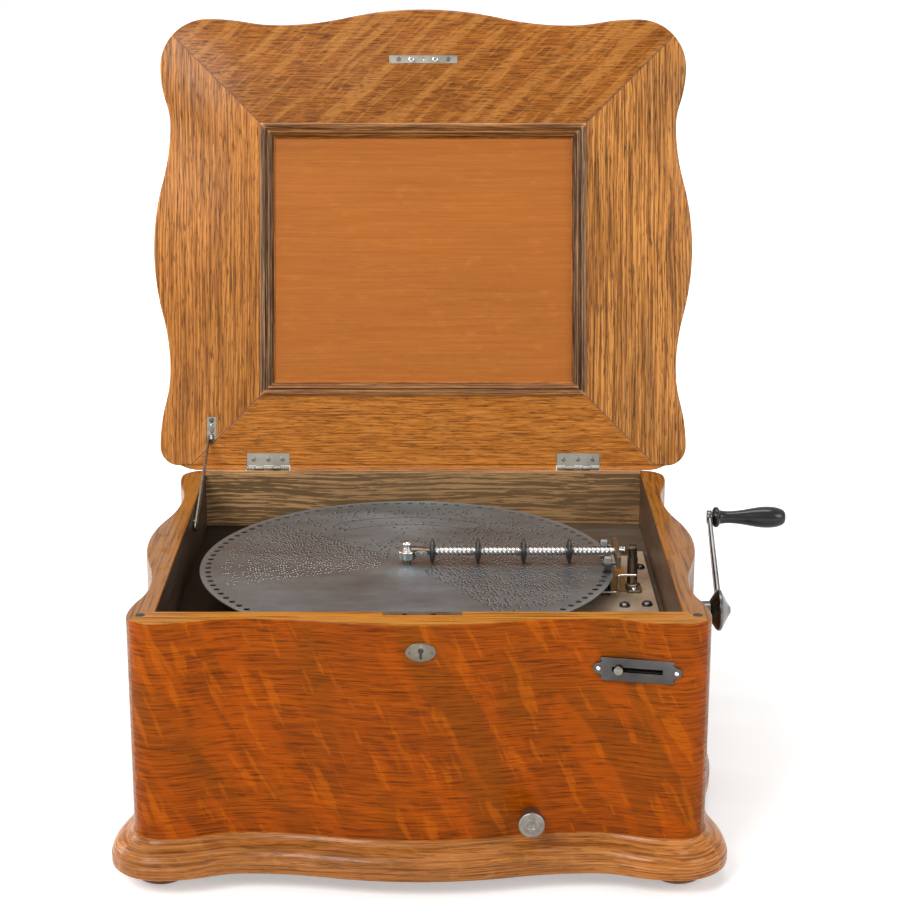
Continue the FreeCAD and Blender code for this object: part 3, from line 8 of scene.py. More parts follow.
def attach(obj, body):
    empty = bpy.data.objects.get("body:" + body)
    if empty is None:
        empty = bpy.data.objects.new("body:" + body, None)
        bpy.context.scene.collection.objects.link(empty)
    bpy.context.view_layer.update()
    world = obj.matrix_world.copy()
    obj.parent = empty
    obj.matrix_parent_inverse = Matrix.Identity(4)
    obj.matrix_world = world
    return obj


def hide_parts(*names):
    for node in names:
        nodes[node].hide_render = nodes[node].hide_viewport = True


# Table-top disc music box: oak case with the lid open, tune disc, pressure arm and crank.
# Pieces are drawn in the case's own millimetres: X is zero on the centre line, Y is zero
# at the middle of the inner depth and Z is zero on the table. at() carries a point to the frame.
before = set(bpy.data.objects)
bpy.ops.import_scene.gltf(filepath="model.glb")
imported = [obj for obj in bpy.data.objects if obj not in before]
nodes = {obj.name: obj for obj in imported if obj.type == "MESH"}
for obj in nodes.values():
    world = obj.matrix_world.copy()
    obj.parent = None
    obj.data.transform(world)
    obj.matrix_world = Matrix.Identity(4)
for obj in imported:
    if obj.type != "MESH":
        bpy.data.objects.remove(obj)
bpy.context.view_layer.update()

# Dimensions shared with the model
INNER_X = 226.8
INNER_Y = 204.1
BACK_Y = 216.1
RIM_Z = 247.0
FOOT_HEIGHT = 17.4
WALL_Z = 29.4
PLINTH_TOP = 47.5
EAR = (251.0, 235.0)
WAIST = (240.5, 221.0)
BULGE = (257.5, 237.5)
WAIST_ALONG_X = 152.0
WAIST_ALONG_Y = 128.0
SIDE_MIDDLE_Y = -12.0
CORNER = 25.0
BACK_CORNER = 20.0
BACK_CORNER_X = EAR[0] - BACK_CORNER
LID_Z = 247.5
LID_OVERHANG = 25.0
LID_TOP = LID_Z + 22.0
LID_EAR_Y = 227.5
MITRE_X = 171.0
MITRE_Y = 143.0
PIN_Y = 219.0
PIN_Z = 248.4
OPEN = math.radians(106.0)
DISC_X = -13.5
DISC_TOP = 219.45
DISC_UNDER = 218.55
DISC_RADIUS = 196.85
HOLE_CIRCLE = 189.0
DRIVE_HOLES = 96
HOLE_RADIUS = 3.25
HOLE_BAND = 183.6
ARM_Z = 231.8
BED_TOP = 196.0
POST_X = 201.5
SPROCKET_X = DISC_X + HOLE_CIRCLE
ROLLER_XS = [DISC_X + track for track in (24.1, 67.5, 110.9, 154.3)]
ROLLER_RADIUS = ARM_Z - DISC_TOP - 0.3
EDGE_ROLLER_Y = 25.0
EDGE_ROLLER_Z = DISC_TOP + 8.8
CRANK_Z = 172.0
CRANK_ARM_X = 286.0
CRANK_LENGTH = 116.0
CRANK_ANGLE = math.radians(32.3)
GRIP_X0 = 289.0
GRIP_LENGTH = 73.0
CRANK_END_Y = CRANK_LENGTH * math.cos(CRANK_ANGLE)
CRANK_END_Z = CRANK_Z + CRANK_LENGTH * math.sin(CRANK_ANGLE)
HINGE_XS = (-162.5, 162.5)
PEG_XS = (-12.5, 12.5)
PEG_Y = -209.8
ESCUTCHEON = (1.6, -BULGE[1], RIM_Z - 24.5)
STAY_X = -224.2
STAY_PIVOT = (STAY_X, PIN_Y - 31, LID_Z - 5)
STAY_STUD = (STAY_X, 90, RIM_Z - 15)
START = (187.0, -227.2, RIM_Z - 44.5)
START_TURN = math.radians(-11.0)
KNOB_X = 96.9
KNOB_Z = 69.0
FOOT_PLACES = [(x, y) for x in (-228.0, 228.0) for y in (-211.0, 182.0)]

# The whole model, with its lid open and its crank fitted, is centred on the frame's origin
LID_REACH = PIN_Y + BULGE[1] - 12.0
LID_HEIGHT = LID_TOP + 13.0 - PIN_Z
LID_BACKMOST_Y = PIN_Y - LID_REACH * math.cos(OPEN) + LID_HEIGHT * math.sin(OPEN)
ORIGIN_X = (GRIP_X0 + GRIP_LENGTH - BULGE[0] - LID_OVERHANG) / 2
ORIGIN_Y = (LID_BACKMOST_Y - BULGE[1] - 21.0) / 2

X_AXIS = Vector((1, 0, 0))
Y_AXIS = Vector((0, 1, 0))
Z_AXIS = Vector((0, 0, 1))


def at(x, y, z):
    return Vector(((x - ORIGIN_X) / 1000, (y - ORIGIN_Y) / 1000, z / 1000))


PIN = at(0, PIN_Y, PIN_Z)
LID_OPENED = Matrix.Translation(PIN) @ Matrix.Rotation(-OPEN, 4, "X") @ Matrix.Translation(-PIN)


# Material nodes
class Graph:
    """A node tree, and the shader that its outputs are linked to."""

    def __init__(self, tree):
        self.tree = tree
        self.shader = tree.nodes.get("Principled BSDF")

    def add(self, kind, values=None, **settings):
        node = self.tree.nodes.new(kind)
        for key, value in settings.items():
            setattr(node, key, value)
        for key, value in (values or {}).items():
            if hasattr(value, "is_output"):
                self.tree.links.new(value, node.inputs[key])
            else:
                node.inputs[key].default_value = value
        return node

    def link(self, output, socket_name):
        self.tree.links.new(output, self.shader.inputs[socket_name])

    def fix(self, values):
        for socket_name, value in values.items():
            self.shader.inputs[socket_name].default_value = value

    def coordinates(self, turn=(0, 0, 0), stretch=(1, 1, 1), shift=(0, 0, 0), warp=None):
        """Object coordinates, turned so that X runs along the grain and then stretched."""
        source = self.add("ShaderNodeTexCoord").outputs["Object"]
        if warp:
            amount, scale = warp
            noise = self.add("ShaderNodeTexNoise", {"Vector": source, "Scale": scale, "Detail": 2.0})
            centred = self.add("ShaderNodeVectorMath", {0: noise.outputs["Color"], 1: (0.5, 0.5, 0.5)},
                               operation="SUBTRACT")
            scaled = self.add("ShaderNodeVectorMath", {0: centred.outputs[0], "Scale": amount},
                              operation="SCALE")
            source = self.add("ShaderNodeVectorMath", {0: source, 1: scaled.outputs[0]}).outputs[0]
        turned = self.add("ShaderNodeMapping", {"Vector": source, "Rotation": turn})
        return self.add("ShaderNodeMapping", {"Vector": turned.outputs[0], "Scale": stretch,
                                              "Location": shift}).outputs[0]

    def noise(self, vector, detail=4.0, rough=0.6, scale=1.0):
        return self.add("ShaderNodeTexNoise", {"Vector": vector, "Scale": scale, "Detail": detail,
                                               "Roughness": rough}).outputs["Fac"]

    def ramp(self, value, stops):
        node = self.add("ShaderNodeValToRGB", {"Fac": value})
        ramp = node.color_ramp
        while len(ramp.elements) < len(stops):
            ramp.elements.new(0.5)
        for element, (place, colour) in zip(ramp.elements, stops):
            element.position = place
            element.color = (*colour, 1)
        return node.outputs["Color"]

    def spread(self, value, low, high, to_low=0.0, to_high=1.0):
        return self.add("ShaderNodeMapRange", {"Value": value, "From Min": low, "From Max": high,
                                               "To Min": to_low, "To Max": to_high}).outputs["Result"]

    def combine(self, operation, a, b):
        return self.add("ShaderNodeMath", {0: a, 1: b}, operation=operation).outputs[0]

    def times(self, a, b):
        return self.combine("MULTIPLY", a, b)

    def plus(self, a, b):
        return self.combine("ADD", a, b)

    def larger(self, a, b):
        return self.combine("MAXIMUM", a, b)

    def mix(self, factor, a, b, blend="MIX"):
        a, b = [value if hasattr(value, "is_output") else (*value, 1) for value in (a, b)]
        node = self.add("ShaderNodeMix", data_type="RGBA", blend_type=blend)
        for socket, value in ((node.inputs[0], factor), (node.inputs[6], a), (node.inputs[7], b)):
            if hasattr(value, "is_output"):
                self.tree.links.new(value, socket)
            else:
                socket.default_value = value
        return node.outputs[2]

    def bump(self, height, strength, distance):
        node = self.add("ShaderNodeBump", {"Height": height, "Strength": strength, "Distance": distance})
        self.link(node.outputs[0], "Normal")

    def edge_wear_and_highlight(self):
        """High along convex edges, from the surface's own pointiness: worn edges, and on the bead a painted
        highlight.
        """
        geometry = self.add("ShaderNodeNewGeometry")
        return self.spread(geometry.outputs["Pointiness"], 0.53, 0.60)

    def seen_rays(self):
        """One on the rays that see the pale background: camera, transmission and glossy."""
        rays = self.add("ShaderNodeLightPath")
        seen = self.larger(rays.outputs["Is Camera Ray"], rays.outputs["Is Transmission Ray"])
        return self.larger(seen, rays.outputs["Is Glossy Ray"])


def new_material(name):
    material = bpy.data.materials.new(name)
    material.use_nodes = True
    return material, Graph(material.node_tree)


GRAIN_X = (0, 0, 0)
GRAIN_Y = (0, 0, math.radians(90))


def oak(name, grain, dark, middle, light, fleck=(), pitch=700.0, contrast=0.5, gloss=0.34, pores=0.55,
        blotch=0.2, warp=0.006, streak_length=14.0, pore_size=(70, 950), sheen=0.15, coat=0.06, top=None,
        bent=False, wear_and_highlight=0.30, left_painted_shade=False):
    """Stained and varnished oak: streaked grain, dark pores and, where given, pale ray flecks.

    bent carries the grain round a curved front, top gives the rim its own tone,
    wear_and_highlight lightens convex edges, for worn edges and, where it is large, as a
    painted highlight, and left_painted_shade darkens the left half with painted shade.
    """
    material, g = new_material(name)
    depth = streak_length / pitch if bent else 1.0
    warped = (warp, 7.0)
    streaks = g.noise(g.coordinates(grain, (streak_length, pitch * depth, pitch), warp=warped), 5.0, 0.62)
    fine_place = g.coordinates(grain, (30, pitch * 2.6 * depth, pitch * 2.6), (3, 1, 2), warp=warped)
    fine = g.noise(fine_place, 3.0, 0.6)
    value = g.plus(g.times(streaks, 0.68), g.times(fine, 0.32))
    spread = 0.17 * (1.15 - contrast)
    colour = g.ramp(value, [(0.5 - spread, dark), (0.5, middle), (0.5 + spread, light)])
    broad = g.noise(g.coordinates(grain, (4, 16, 16), (5, 2, 7), warp=(0.02, 4.0)), 3.0, 0.55)
    shade = g.spread(broad, 0.3, 0.7, 1.0 - blotch, 1.0 + blotch)
    tint = g.add("ShaderNodeCombineColor", {0: shade, 1: shade, 2: shade}).outputs[0]
    colour = g.mix(1.0, colour, tint, "MULTIPLY")
    for number, (turn, size, low, high, strength, pale) in enumerate(fleck):
        place = g.coordinates(turn, size, (number * 3.7, 1.3, 2.9), warp=(0.012, 11.0))
        flake = g.times(g.spread(g.noise(place, 3.0, 0.5), low, high), strength)
        flake = g.times(flake, g.spread(fine, 0.35, 0.55, 0.55, 1.0))
        colour = g.mix(flake, colour, pale)
    pore_depth = pore_size[0] if bent else pore_size[1]
    pore_place = g.coordinates(grain, (pore_size[0], pore_depth, pore_size[1]), (8, 3, 4), warp=warped)
    pore = g.times(g.spread(g.noise(pore_place, 2.0, 0.5), 0.56, 0.66), pores)
    colour = g.mix(pore, colour, tuple(c * 0.35 for c in dark))
    if top:
        normal = g.add("ShaderNodeNewGeometry").outputs["Normal"]
        facing = g.add("ShaderNodeSeparateXYZ", {0: normal}).outputs["Z"]
        lines = g.noise(g.coordinates(grain, (10, 420, 420), (1, 6, 2), warp=(0.008, 9.0)), 4.0, 0.65)
        bare = g.ramp(lines, [(0.38, top[0]), (0.52, top[1])])
        colour = g.mix(g.spread(facing, 0.55, 0.85), colour, bare)
    # Convex edges are lightened: worn edges, and on the bead, where the amount is large, a painted highlight
    worn = g.times(g.edge_wear_and_highlight(), wear_and_highlight)
    colour = g.mix(worn, colour, tuple(min(1.0, c * 1.35 + 0.03) for c in light))
    # Painted shade: the left half of the surface fades to near-black
    if left_painted_shade:
        place = g.add("ShaderNodeTexCoord").outputs["Object"]
        across = g.add("ShaderNodeSeparateXYZ", {0: place}).outputs["X"]
        colour = g.mix(g.spread(across, -0.06, 0.16), (0.010, 0.006, 0.004), colour)
    g.link(colour, "Base Color")
    g.link(g.spread(g.plus(value, pore), 0.3, 1.1, gloss - 0.06, gloss + 0.22), "Roughness")
    g.fix({"Specular IOR Level": sheen, "Coat Weight": coat, "Coat Roughness": 0.18})
    g.bump(g.plus(g.times(value, 0.55), g.times(pore, -0.8)), 0.28, 0.0005)
    return material


def metal(name, colour, second, rough=0.3, metallic=1.0, blotch=(25, 25, 25), brushed=(900, 900, 900),
          dirt=None, dirt_amount=0.5, bump=0.05, turned=False, polish=0.0):
    """Metal with cloudy tone, fine scratches and grime in patches.

    turned draws highlights out round the Z axis, and polish adds a clear coat.
    """
    material, g = new_material(name)
    cloud = g.noise(g.coordinates(stretch=blotch), 4.0, 0.6)
    base = g.ramp(cloud, [(0.32, colour), (0.68, second)])
    fine = g.noise(g.coordinates(stretch=brushed), 3.0, 0.6)
    if dirt:
        spots = g.noise(g.coordinates(stretch=(140, 140, 140), shift=(4, 1, 6)), 5.0, 0.65)
        base = g.mix(g.times(g.spread(spots, 0.5, 0.72), dirt_amount), base, dirt)
    worn = g.times(g.edge_wear_and_highlight(), 0.35)
    base = g.mix(worn, base, tuple(min(1.0, c * 1.4 + 0.05) for c in second))
    g.link(base, "Base Color")
    g.link(g.spread(g.plus(g.times(fine, 0.3), cloud), 0.4, 1.1, rough * 0.75, rough * 1.45), "Roughness")
    g.fix({"Metallic": metallic})
    if turned:
        g.link(g.add("ShaderNodeTangent", direction_type="RADIAL", axis="Z").outputs[0], "Tangent")
        g.fix({"Anisotropic": 0.75, "Anisotropic Rotation": 0.25})
    if polish:
        g.fix({"Specular IOR Level": 0.30, "Coat Weight": polish, "Coat Roughness": 0.08})
    g.bump(fine, bump, 0.0003)
    return material


RISING_RAYS = (0, 0, math.radians(42))
FALLING_RAYS = (0, 0, math.radians(-20))
PALE_RAY = (0.50, 0.205, 0.042)

lid_oak_across = oak("lid_oak_across", GRAIN_X, (0.112, 0.032, 0.003), (0.275, 0.082, 0.007),
                     (0.39, 0.130, 0.016),
                     fleck=[(RISING_RAYS, (8, 85, 85), 0.50, 0.60, 0.55, PALE_RAY),
                            (RISING_RAYS, (30, 260, 260), 0.56, 0.64, 0.5, PALE_RAY)],
                     contrast=0.5, pores=0.62, blotch=0.10, streak_length=40.0, pore_size=(110, 900))
lid_oak_back = oak("lid_oak_back", GRAIN_X, (0.165, 0.048, 0.005), (0.445, 0.142, 0.015),
                   (0.62, 0.225, 0.034),
                   fleck=[(FALLING_RAYS, (18, 190, 190), 0.54, 0.64, 0.45, PALE_RAY)],
                   contrast=0.5, pores=0.62, blotch=0.12, streak_length=26.0, pore_size=(90, 900))
lid_oak_left = oak("lid_oak_left", GRAIN_Y, (0.170, 0.055, 0.009), (0.410, 0.146, 0.024),
                   (0.60, 0.240, 0.052),
                   contrast=0.62, pores=0.72, blotch=0.14, streak_length=9.0, pitch=620.0,
                   pore_size=(60, 800))
lid_oak_right = oak("lid_oak_right", GRAIN_Y, (0.140, 0.052, 0.013), (0.430, 0.162, 0.032),
                    (0.66, 0.285, 0.070),
                    fleck=[(GRAIN_Y, (5, 95, 95), 0.58, 0.68, 0.45, (0.13, 0.075, 0.045))],
                    contrast=0.66, pores=0.72, blotch=0.18, streak_length=8.0, pitch=560.0,
                    pore_size=(60, 800))
RIM_WOOD = ((0.185, 0.060, 0.006), (0.455, 0.185, 0.030))
SIDE_RIM_WOOD = ((0.115, 0.038, 0.004), (0.300, 0.112, 0.014))
front_oak = oak("front_oak", GRAIN_X, (0.125, 0.030, 0.001), (0.312, 0.056, 0.001), (0.45, 0.094, 0.001),
                fleck=[((0, math.radians(-74), 0), (5, 18, 18), 0.49, 0.63, 0.50, (0.200, 0.056, 0.001)),
                       ((0, math.radians(-60), 0), (9, 46, 46), 0.51, 0.61, 0.50, (0.49, 0.085, 0.001)),
                       ((0, math.radians(-66), 0), (16, 105, 105), 0.57, 0.64, 0.50, (0.58, 0.125, 0.002))],
                contrast=0.25, pores=0.55, blotch=0.14, streak_length=26.0, gloss=0.27, sheen=0.04,
                coat=0.06, pitch=760.0, pore_size=(45, 850), warp=0.004, top=RIM_WOOD, bent=True)
side_oak = oak("side_oak", GRAIN_Y, (0.120, 0.034, 0.004), (0.265, 0.085, 0.011), (0.38, 0.140, 0.026),
               fleck=[((math.radians(60), 0, math.radians(90)), (12, 60, 60), 0.58, 0.68, 0.4, PALE_RAY),
                      ((0, 0, math.radians(60)), (40, 300, 300), 0.60, 0.68, 0.45, (0.17, 0.050, 0.006))],
               contrast=0.35, pores=0.6, blotch=0.16, gloss=0.27, sheen=0.08, coat=0.08, streak_length=24.0,
               pitch=760.0, pore_size=(45, 850), top=SIDE_RIM_WOOD, bent=True)
back_oak = oak("back_oak", GRAIN_X, (0.003, 0.002, 0.001), (0.014, 0.009, 0.005), (0.40, 0.225, 0.095),
               pitch=330.0, contrast=1.0, pores=0.5, blotch=0.45, warp=0.014, streak_length=7.0, gloss=0.40,
               sheen=0.08, coat=0.03, pore_size=(40, 700))
plinth_across = oak("plinth_across", GRAIN_X, (0.175, 0.056, 0.008), (0.395, 0.132, 0.022),
                    (0.56, 0.225, 0.058),
                    fleck=[(RISING_RAYS, (12, 90, 90), 0.58, 0.68, 0.35, (0.52, 0.22, 0.06))],
                    contrast=0.45, pores=0.5, blotch=0.2, gloss=0.27, sheen=0.15, coat=0.15, bent=True)
plinth_along = oak("plinth_along", GRAIN_Y, (0.175, 0.056, 0.008), (0.395, 0.132, 0.022),
                   (0.56, 0.225, 0.058),
                   contrast=0.45, pores=0.5, blotch=0.2, gloss=0.27, sheen=0.15, coat=0.15, bent=True)
panel_oak = oak("panel_oak", GRAIN_X, (0.285, 0.073, 0.003), (0.355, 0.102, 0.008), (0.41, 0.127, 0.015),
                fleck=[((0, 0, math.radians(24)), (30, 120, 120), 0.58, 0.70, 0.30, (0.56, 0.19, 0.03))],
                pitch=420.0, contrast=0.25, pores=0.26, blotch=0.07, gloss=0.24, streak_length=8.0,
                pore_size=(120, 700), sheen=0.15)
turned_oak = oak("turned_oak", GRAIN_X, (0.120, 0.036, 0.006), (0.26, 0.080, 0.014), (0.38, 0.135, 0.028),
                 contrast=0.5, pores=0.5, blotch=0.25)
# The pine board carries painted shade over its left half
pine = oak("pine_board", GRAIN_X, (0.040, 0.027, 0.018), (0.074, 0.051, 0.036), (0.125, 0.088, 0.062),
           pitch=220.0, contrast=0.5, pores=0.3, blotch=0.3, gloss=0.48, left_painted_shade=True)
under_oak = oak("under_oak", GRAIN_X, (0.14, 0.075, 0.035), (0.25, 0.145, 0.075), (0.36, 0.22, 0.12),
                pitch=260.0, contrast=0.4, pores=0.3, blotch=0.2, gloss=0.55)

nickel = metal("nickel", (0.185, 0.168, 0.142), (0.300, 0.278, 0.240), rough=0.30, dirt=(0.14, 0.11, 0.08))
bright_nickel = metal("bright_nickel", (0.42, 0.405, 0.38), (0.66, 0.645, 0.62), rough=0.22,
                      dirt=(0.24, 0.21, 0.18), dirt_amount=0.35)
dull_nickel = metal("dull_nickel", (0.125, 0.108, 0.082), (0.215, 0.190, 0.150), rough=0.38,
                    dirt=(0.10, 0.08, 0.055), dirt_amount=0.55)
dark_plate = metal("dark_plate", (0.048, 0.045, 0.045), (0.095, 0.090, 0.088), rough=0.32,
                   dirt=(0.05, 0.04, 0.03))
disc_steel = metal("disc_steel", (0.098, 0.108, 0.110), (0.170, 0.186, 0.190), rough=0.38, metallic=0.45,
                   blotch=(7, 16, 9), dirt=(0.088, 0.092, 0.092), bump=0.02, turned=True)
# Dark sheets: painted shade in the keyhole, the start slot and the disc's punched slots, and the colour of
# the rim plugs and the banner outline
dark_marks_and_hole_shade = metal("dark_marks_and_hole_shade", (0.012, 0.010, 0.009), (0.028, 0.024, 0.020), rough=0.6, metallic=0.2)
punched_lip = metal("punched_lip", (0.20, 0.20, 0.198), (0.32, 0.32, 0.312), rough=0.36, metallic=0.5)
bed_iron = metal("bed_iron", (0.29, 0.205, 0.130), (0.40, 0.295, 0.205), rough=0.50, metallic=0.25,
                 dirt=(0.09, 0.062, 0.040), dirt_amount=0.55, bump=0.18)
comb_steel = metal("comb_steel", (0.28, 0.27, 0.26), (0.42, 0.40, 0.38), rough=0.32,
                   dirt=(0.12, 0.09, 0.07), dirt_amount=0.4)
gear_brass = metal("gear_brass", (0.30, 0.19, 0.075), (0.46, 0.31, 0.13), rough=0.36,
                   dirt=(0.14, 0.085, 0.035), dirt_amount=0.55)
crank_iron = metal("crank_iron", (0.065, 0.064, 0.062), (0.185, 0.182, 0.178), rough=0.26,
                   dirt=(0.055, 0.048, 0.04), dirt_amount=0.4, bump=0.06)
roller_steel = metal("roller_steel", (0.024, 0.024, 0.025), (0.058, 0.058, 0.060), rough=0.40, metallic=0.6,
                     dirt=(0.03, 0.03, 0.03), dirt_amount=0.4)
post_steel = metal("post_steel", (0.135, 0.112, 0.078), (0.270, 0.235, 0.178), rough=0.30,
                   dirt=(0.10, 0.08, 0.055))
bolt_steel = metal("bolt_steel", (0.070, 0.070, 0.070), (0.160, 0.157, 0.153), rough=0.34,
                   dirt=(0.06, 0.05, 0.04))
knob_metal = metal("knob_metal", (0.142, 0.128, 0.108), (0.255, 0.232, 0.202), rough=0.36,
                   dirt=(0.085, 0.06, 0.04))
screw_dark = metal("screw_dark", (0.060, 0.055, 0.048), (0.13, 0.12, 0.105), rough=0.42,
                   dirt=(0.03, 0.025, 0.02))
black_grip = metal("black_grip", (0.004, 0.004, 0.004), (0.010, 0.010, 0.011), rough=0.17, metallic=0.0,
                   brushed=(300, 900, 900), bump=0.04, polish=0.15)


# Shapes in mesh code
def spline(points, steps=5):
    """A smooth profile through the points (Catmull-Rom)."""
    ends = [points[0]] + list(points) + [points[-1]]
    out = []
    for a, b, c, d in zip(ends, ends[1:], ends[2:], ends[3:]):
        for k in range(steps):
            t = k / steps
            out.append(tuple(
                0.5 * (2 * q + (r - p) * t + (2 * p - 5 * q + 4 * r - s) * t * t
                       + (3 * q - p - 3 * r + s) * t ** 3)
                for p, q, r, s in zip(a, b, c, d)))
    out.append(tuple(points[-1]))
    return out


def basis(axis):
    """Two unit vectors square to an axis."""
    axis = Vector(axis).normalized()
    helper = Z_AXIS if abs(axis.z) < 0.9 else X_AXIS
    side = axis.cross(helper).normalized()
    return side, axis.cross(side).normalized()


def ring(centre, u, v, count, power=1.0):
    """Points round an oval with the vectors u and v as half axes; a power under one squares it off."""
    centre = Vector(centre)
    points = []
    for k in range(count):
        c, s = math.cos(2 * math.pi * k / count), math.sin(2 * math.pi * k / count)
        points.append(centre + u * math.copysign(abs(c) ** power, c)
                      + v * math.copysign(abs(s) ** power, s))
    return points


def mirrored(profile):
    """A profile that ends on the middle line, carried on to its other side."""
    return profile + [(-x, r) for x, r in reversed(profile[:-1])]


class Form:
    """Vertices and faces gathered from several shapes, in the case's millimetres."""

    def __init__(self):
        self.verts = []
        self.faces = []

    def grid(self, rows, closed_rows=False, closed_columns=False):
        start = len(self.verts)
        count = len(rows[0])
        for row in rows:
            self.verts.extend(tuple(p) for p in row)
        for i in range(len(rows) if closed_rows else len(rows) - 1):
            j = (i + 1) % len(rows)
            for k in range(count if closed_columns else count - 1):
                m = (k + 1) % count
                self.faces.append((start + i * count + k, start + i * count + m,
                                   start + j * count + m, start + j * count + k))
        return self

    def cap(self, points):
        start = len(self.verts)
        self.verts.extend(tuple(p) for p in points)
        self.faces.append(tuple(range(start, start + len(points))))
        return self

    def loft(self, rows):
        """A skin over closed rows, with both ends capped."""
        return self.grid(rows, closed_columns=True).cap(rows[0]).cap(rows[-1])

    def lathe(self, profile, centre, axis, sides=48, closed=False):
        axis = Vector(axis).normalized()
        u, v = basis(axis)
        centre = Vector(centre)
        rows = []
        for along, radius in profile:
            radius = max(radius, 0.0005)
            rows.append(ring(centre + axis * along, u * radius, v * radius, sides))
        return self.grid(rows, closed_rows=closed, closed_columns=True)

    def rod(self, radius, start, end, sides=32, edge=0.3):
        start, end = Vector(start), Vector(end)
        length = (end - start).length
        edge = min(edge, radius * 0.5, length * 0.3)
        profile = [(0, 0), (0, radius - edge), (edge * 0.3, radius - edge * 0.3), (edge, radius),
                   (length - edge, radius), (length - edge * 0.3, radius - edge * 0.3),
                   (length, radius - edge), (length, 0)]
        return self.lathe(profile, start, end - start, sides)

    def prism(self, points, way):
        low = [Vector(p) for p in points]
        return self.loft([low, [p + Vector(way) for p in low]])

    def box(self, x0, x1, y0, y1, z0, z1):
        return self.prism([(x0, y0, z0), (x1, y0, z0), (x1, y1, z0), (x0, y1, z0)], (0, 0, z1 - z0))

    def tube(self, path, radius, sides=16):
        """A round wire along a path, with flat ends."""
        path = [Vector(p) for p in path]
        rows = []
        u, v = basis(path[1] - path[0])
        for i, p in enumerate(path):
            way = (path[min(i + 1, len(path) - 1)] - path[max(i - 1, 0)]).normalized()
            u = (u - way * u.dot(way)).normalized()
            v = way.cross(u).normalized()
            rows.append(ring(p, u * radius, v * radius, sides))
        return self.loft(rows)

    def screw(self, centre, axis, radius, height, turn=0.0, domed=True):
        """A round screw head with its slot cut across."""
        axis = Vector(axis).normalized()
        u, v = basis(axis)
        along = u * math.cos(turn) + v * math.sin(turn)
        across = v * math.cos(turn) - u * math.sin(turn)
        centre = Vector(centre)
        slot = radius * 0.16
        reach = math.sqrt(radius ** 2 - slot ** 2)
        brow, crown = (0.95, 1.0) if domed else (0.75, 0.75)
        for sign in (-1, 1):
            rows = []
            for share, lift in ((1.0, 0.0), (1.0, 0.35), (0.86, 0.72), (0.55, brow), (0.0, crown)):
                row = []
                for k in range(15):
                    a = math.pi * k / 14
                    x = max(-reach, min(reach, radius * share * math.cos(a)))
                    y = sign * max(radius * share * math.sin(a), slot)
                    row.append(centre + along * x + across * y + axis * height * lift)
                rows.append(row)
            self.grid(rows)
            self.cap([row[0] for row in rows] + [row[-1] for row in reversed(rows)])
        core = radius * 0.97
        return self.lathe([(0, 0), (0, core), (height * 0.3, core), (height * 0.3, 0)], centre, axis, 24)


def clean_mesh(name, form, sharp):
    mesh = bpy.data.meshes.new(name)
    mesh.from_pydata([at(*v) for v in form.verts], [], form.faces)
    bm = bmesh.new()
    bm.from_mesh(mesh)
    bmesh.ops.remove_doubles(bm, verts=bm.verts, dist=2e-6)
    bmesh.ops.dissolve_degenerate(bm, edges=bm.edges, dist=1e-6)
    bmesh.ops.recalc_face_normals(bm, faces=bm.faces)
    bm.to_mesh(mesh)
    bm.free()
    for polygon in mesh.polygons:
        polygon.use_smooth = True
    mesh.set_sharp_from_angle(angle=math.radians(sharp))
    return mesh


def placed(name, data):
    obj = bpy.data.objects.new(name, data)
    bpy.context.scene.collection.objects.link(obj)
    return obj


def soften(obj, width, segments):
    """Rounds the edges by a width in millimetres."""
    soft = obj.modifiers.new("soft", "BEVEL")
    soft.width = width / 1000
    soft.segments = segments
    soft.limit_method = "ANGLE"
    soft.angle_limit = math.radians(40)
    return soft


def piece(name, form, material, body, replaces=(), lid=False, sharp=32, bevel=0.0, cutters=None):
    """One object on a body, drawn as closed where it belongs to the lid, and turned open here."""
    obj = placed(name, clean_mesh(name, form, sharp))
    obj.data.materials.append(material)
    if cutters:
        tool = placed(name + "_cutter", clean_mesh(name + "_cutter", cutters, sharp))
        cut = obj.modifiers.new("cut", "BOOLEAN")
        cut.operation = "DIFFERENCE"
        cut.solver = "EXACT"
        cut.use_self = True
        cut.object = tool
        bpy.context.view_layer.update()
        evaluated = obj.evaluated_get(bpy.context.evaluated_depsgraph_get())
        mesh = bpy.data.meshes.new_from_object(evaluated)
        obj.modifiers.clear()
        obj.data = mesh
        mesh.set_sharp_from_angle(angle=math.radians(sharp))
        bpy.data.objects.remove(tool)
    if bevel:
        soften(obj, bevel, 3).harden_normals = True
    if lid:
        obj.matrix_world = LID_OPENED
    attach(obj, body)
    if replaces:
        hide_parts(*replaces)
    return obj


# The serpentine outline shared by the case, the plinth and the lid
def arc(s, n, radius, from_angle, to_angle, steps=16):
    return [(s + radius * math.sin(from_angle + (to_angle - from_angle) * k / steps),
             n + radius * math.cos(from_angle + (to_angle - from_angle) * k / steps))
            for k in range(1, steps + 1)]


def wave(crests, offset):
    """Tangent arcs through points where the outline runs straight, pushed out by offset."""
    points = [(crests[0][0], crests[0][1] + offset)]
    for (s0, n0), (s1, n1) in zip(crests[:-1], crests[1:]):
        length, rise = s1 - s0, abs(n1 - n0)
        radius = (length ** 2 + rise ** 2) / (4 * rise)
        turn = 2 * math.atan(rise / length)
        if n0 > n1:
            points += arc(s0, n0 - radius, radius + offset, 0, turn)
            points += arc(s1, n1 + radius, radius - offset, math.pi + turn, math.pi)
        else:
            points += arc(s0, n0 + radius, radius - offset, math.pi, math.pi - turn)
            points += arc(s1, n1 - radius, radius + offset, -turn, 0)
    return points


def round_corner(x, y, radius, from_angle, steps=14):
    return [(x + radius * math.cos(math.radians(from_angle + 90 * k / steps)),
             y + radius * math.sin(math.radians(from_angle + 90 * k / steps))) for k in range(1, steps)]


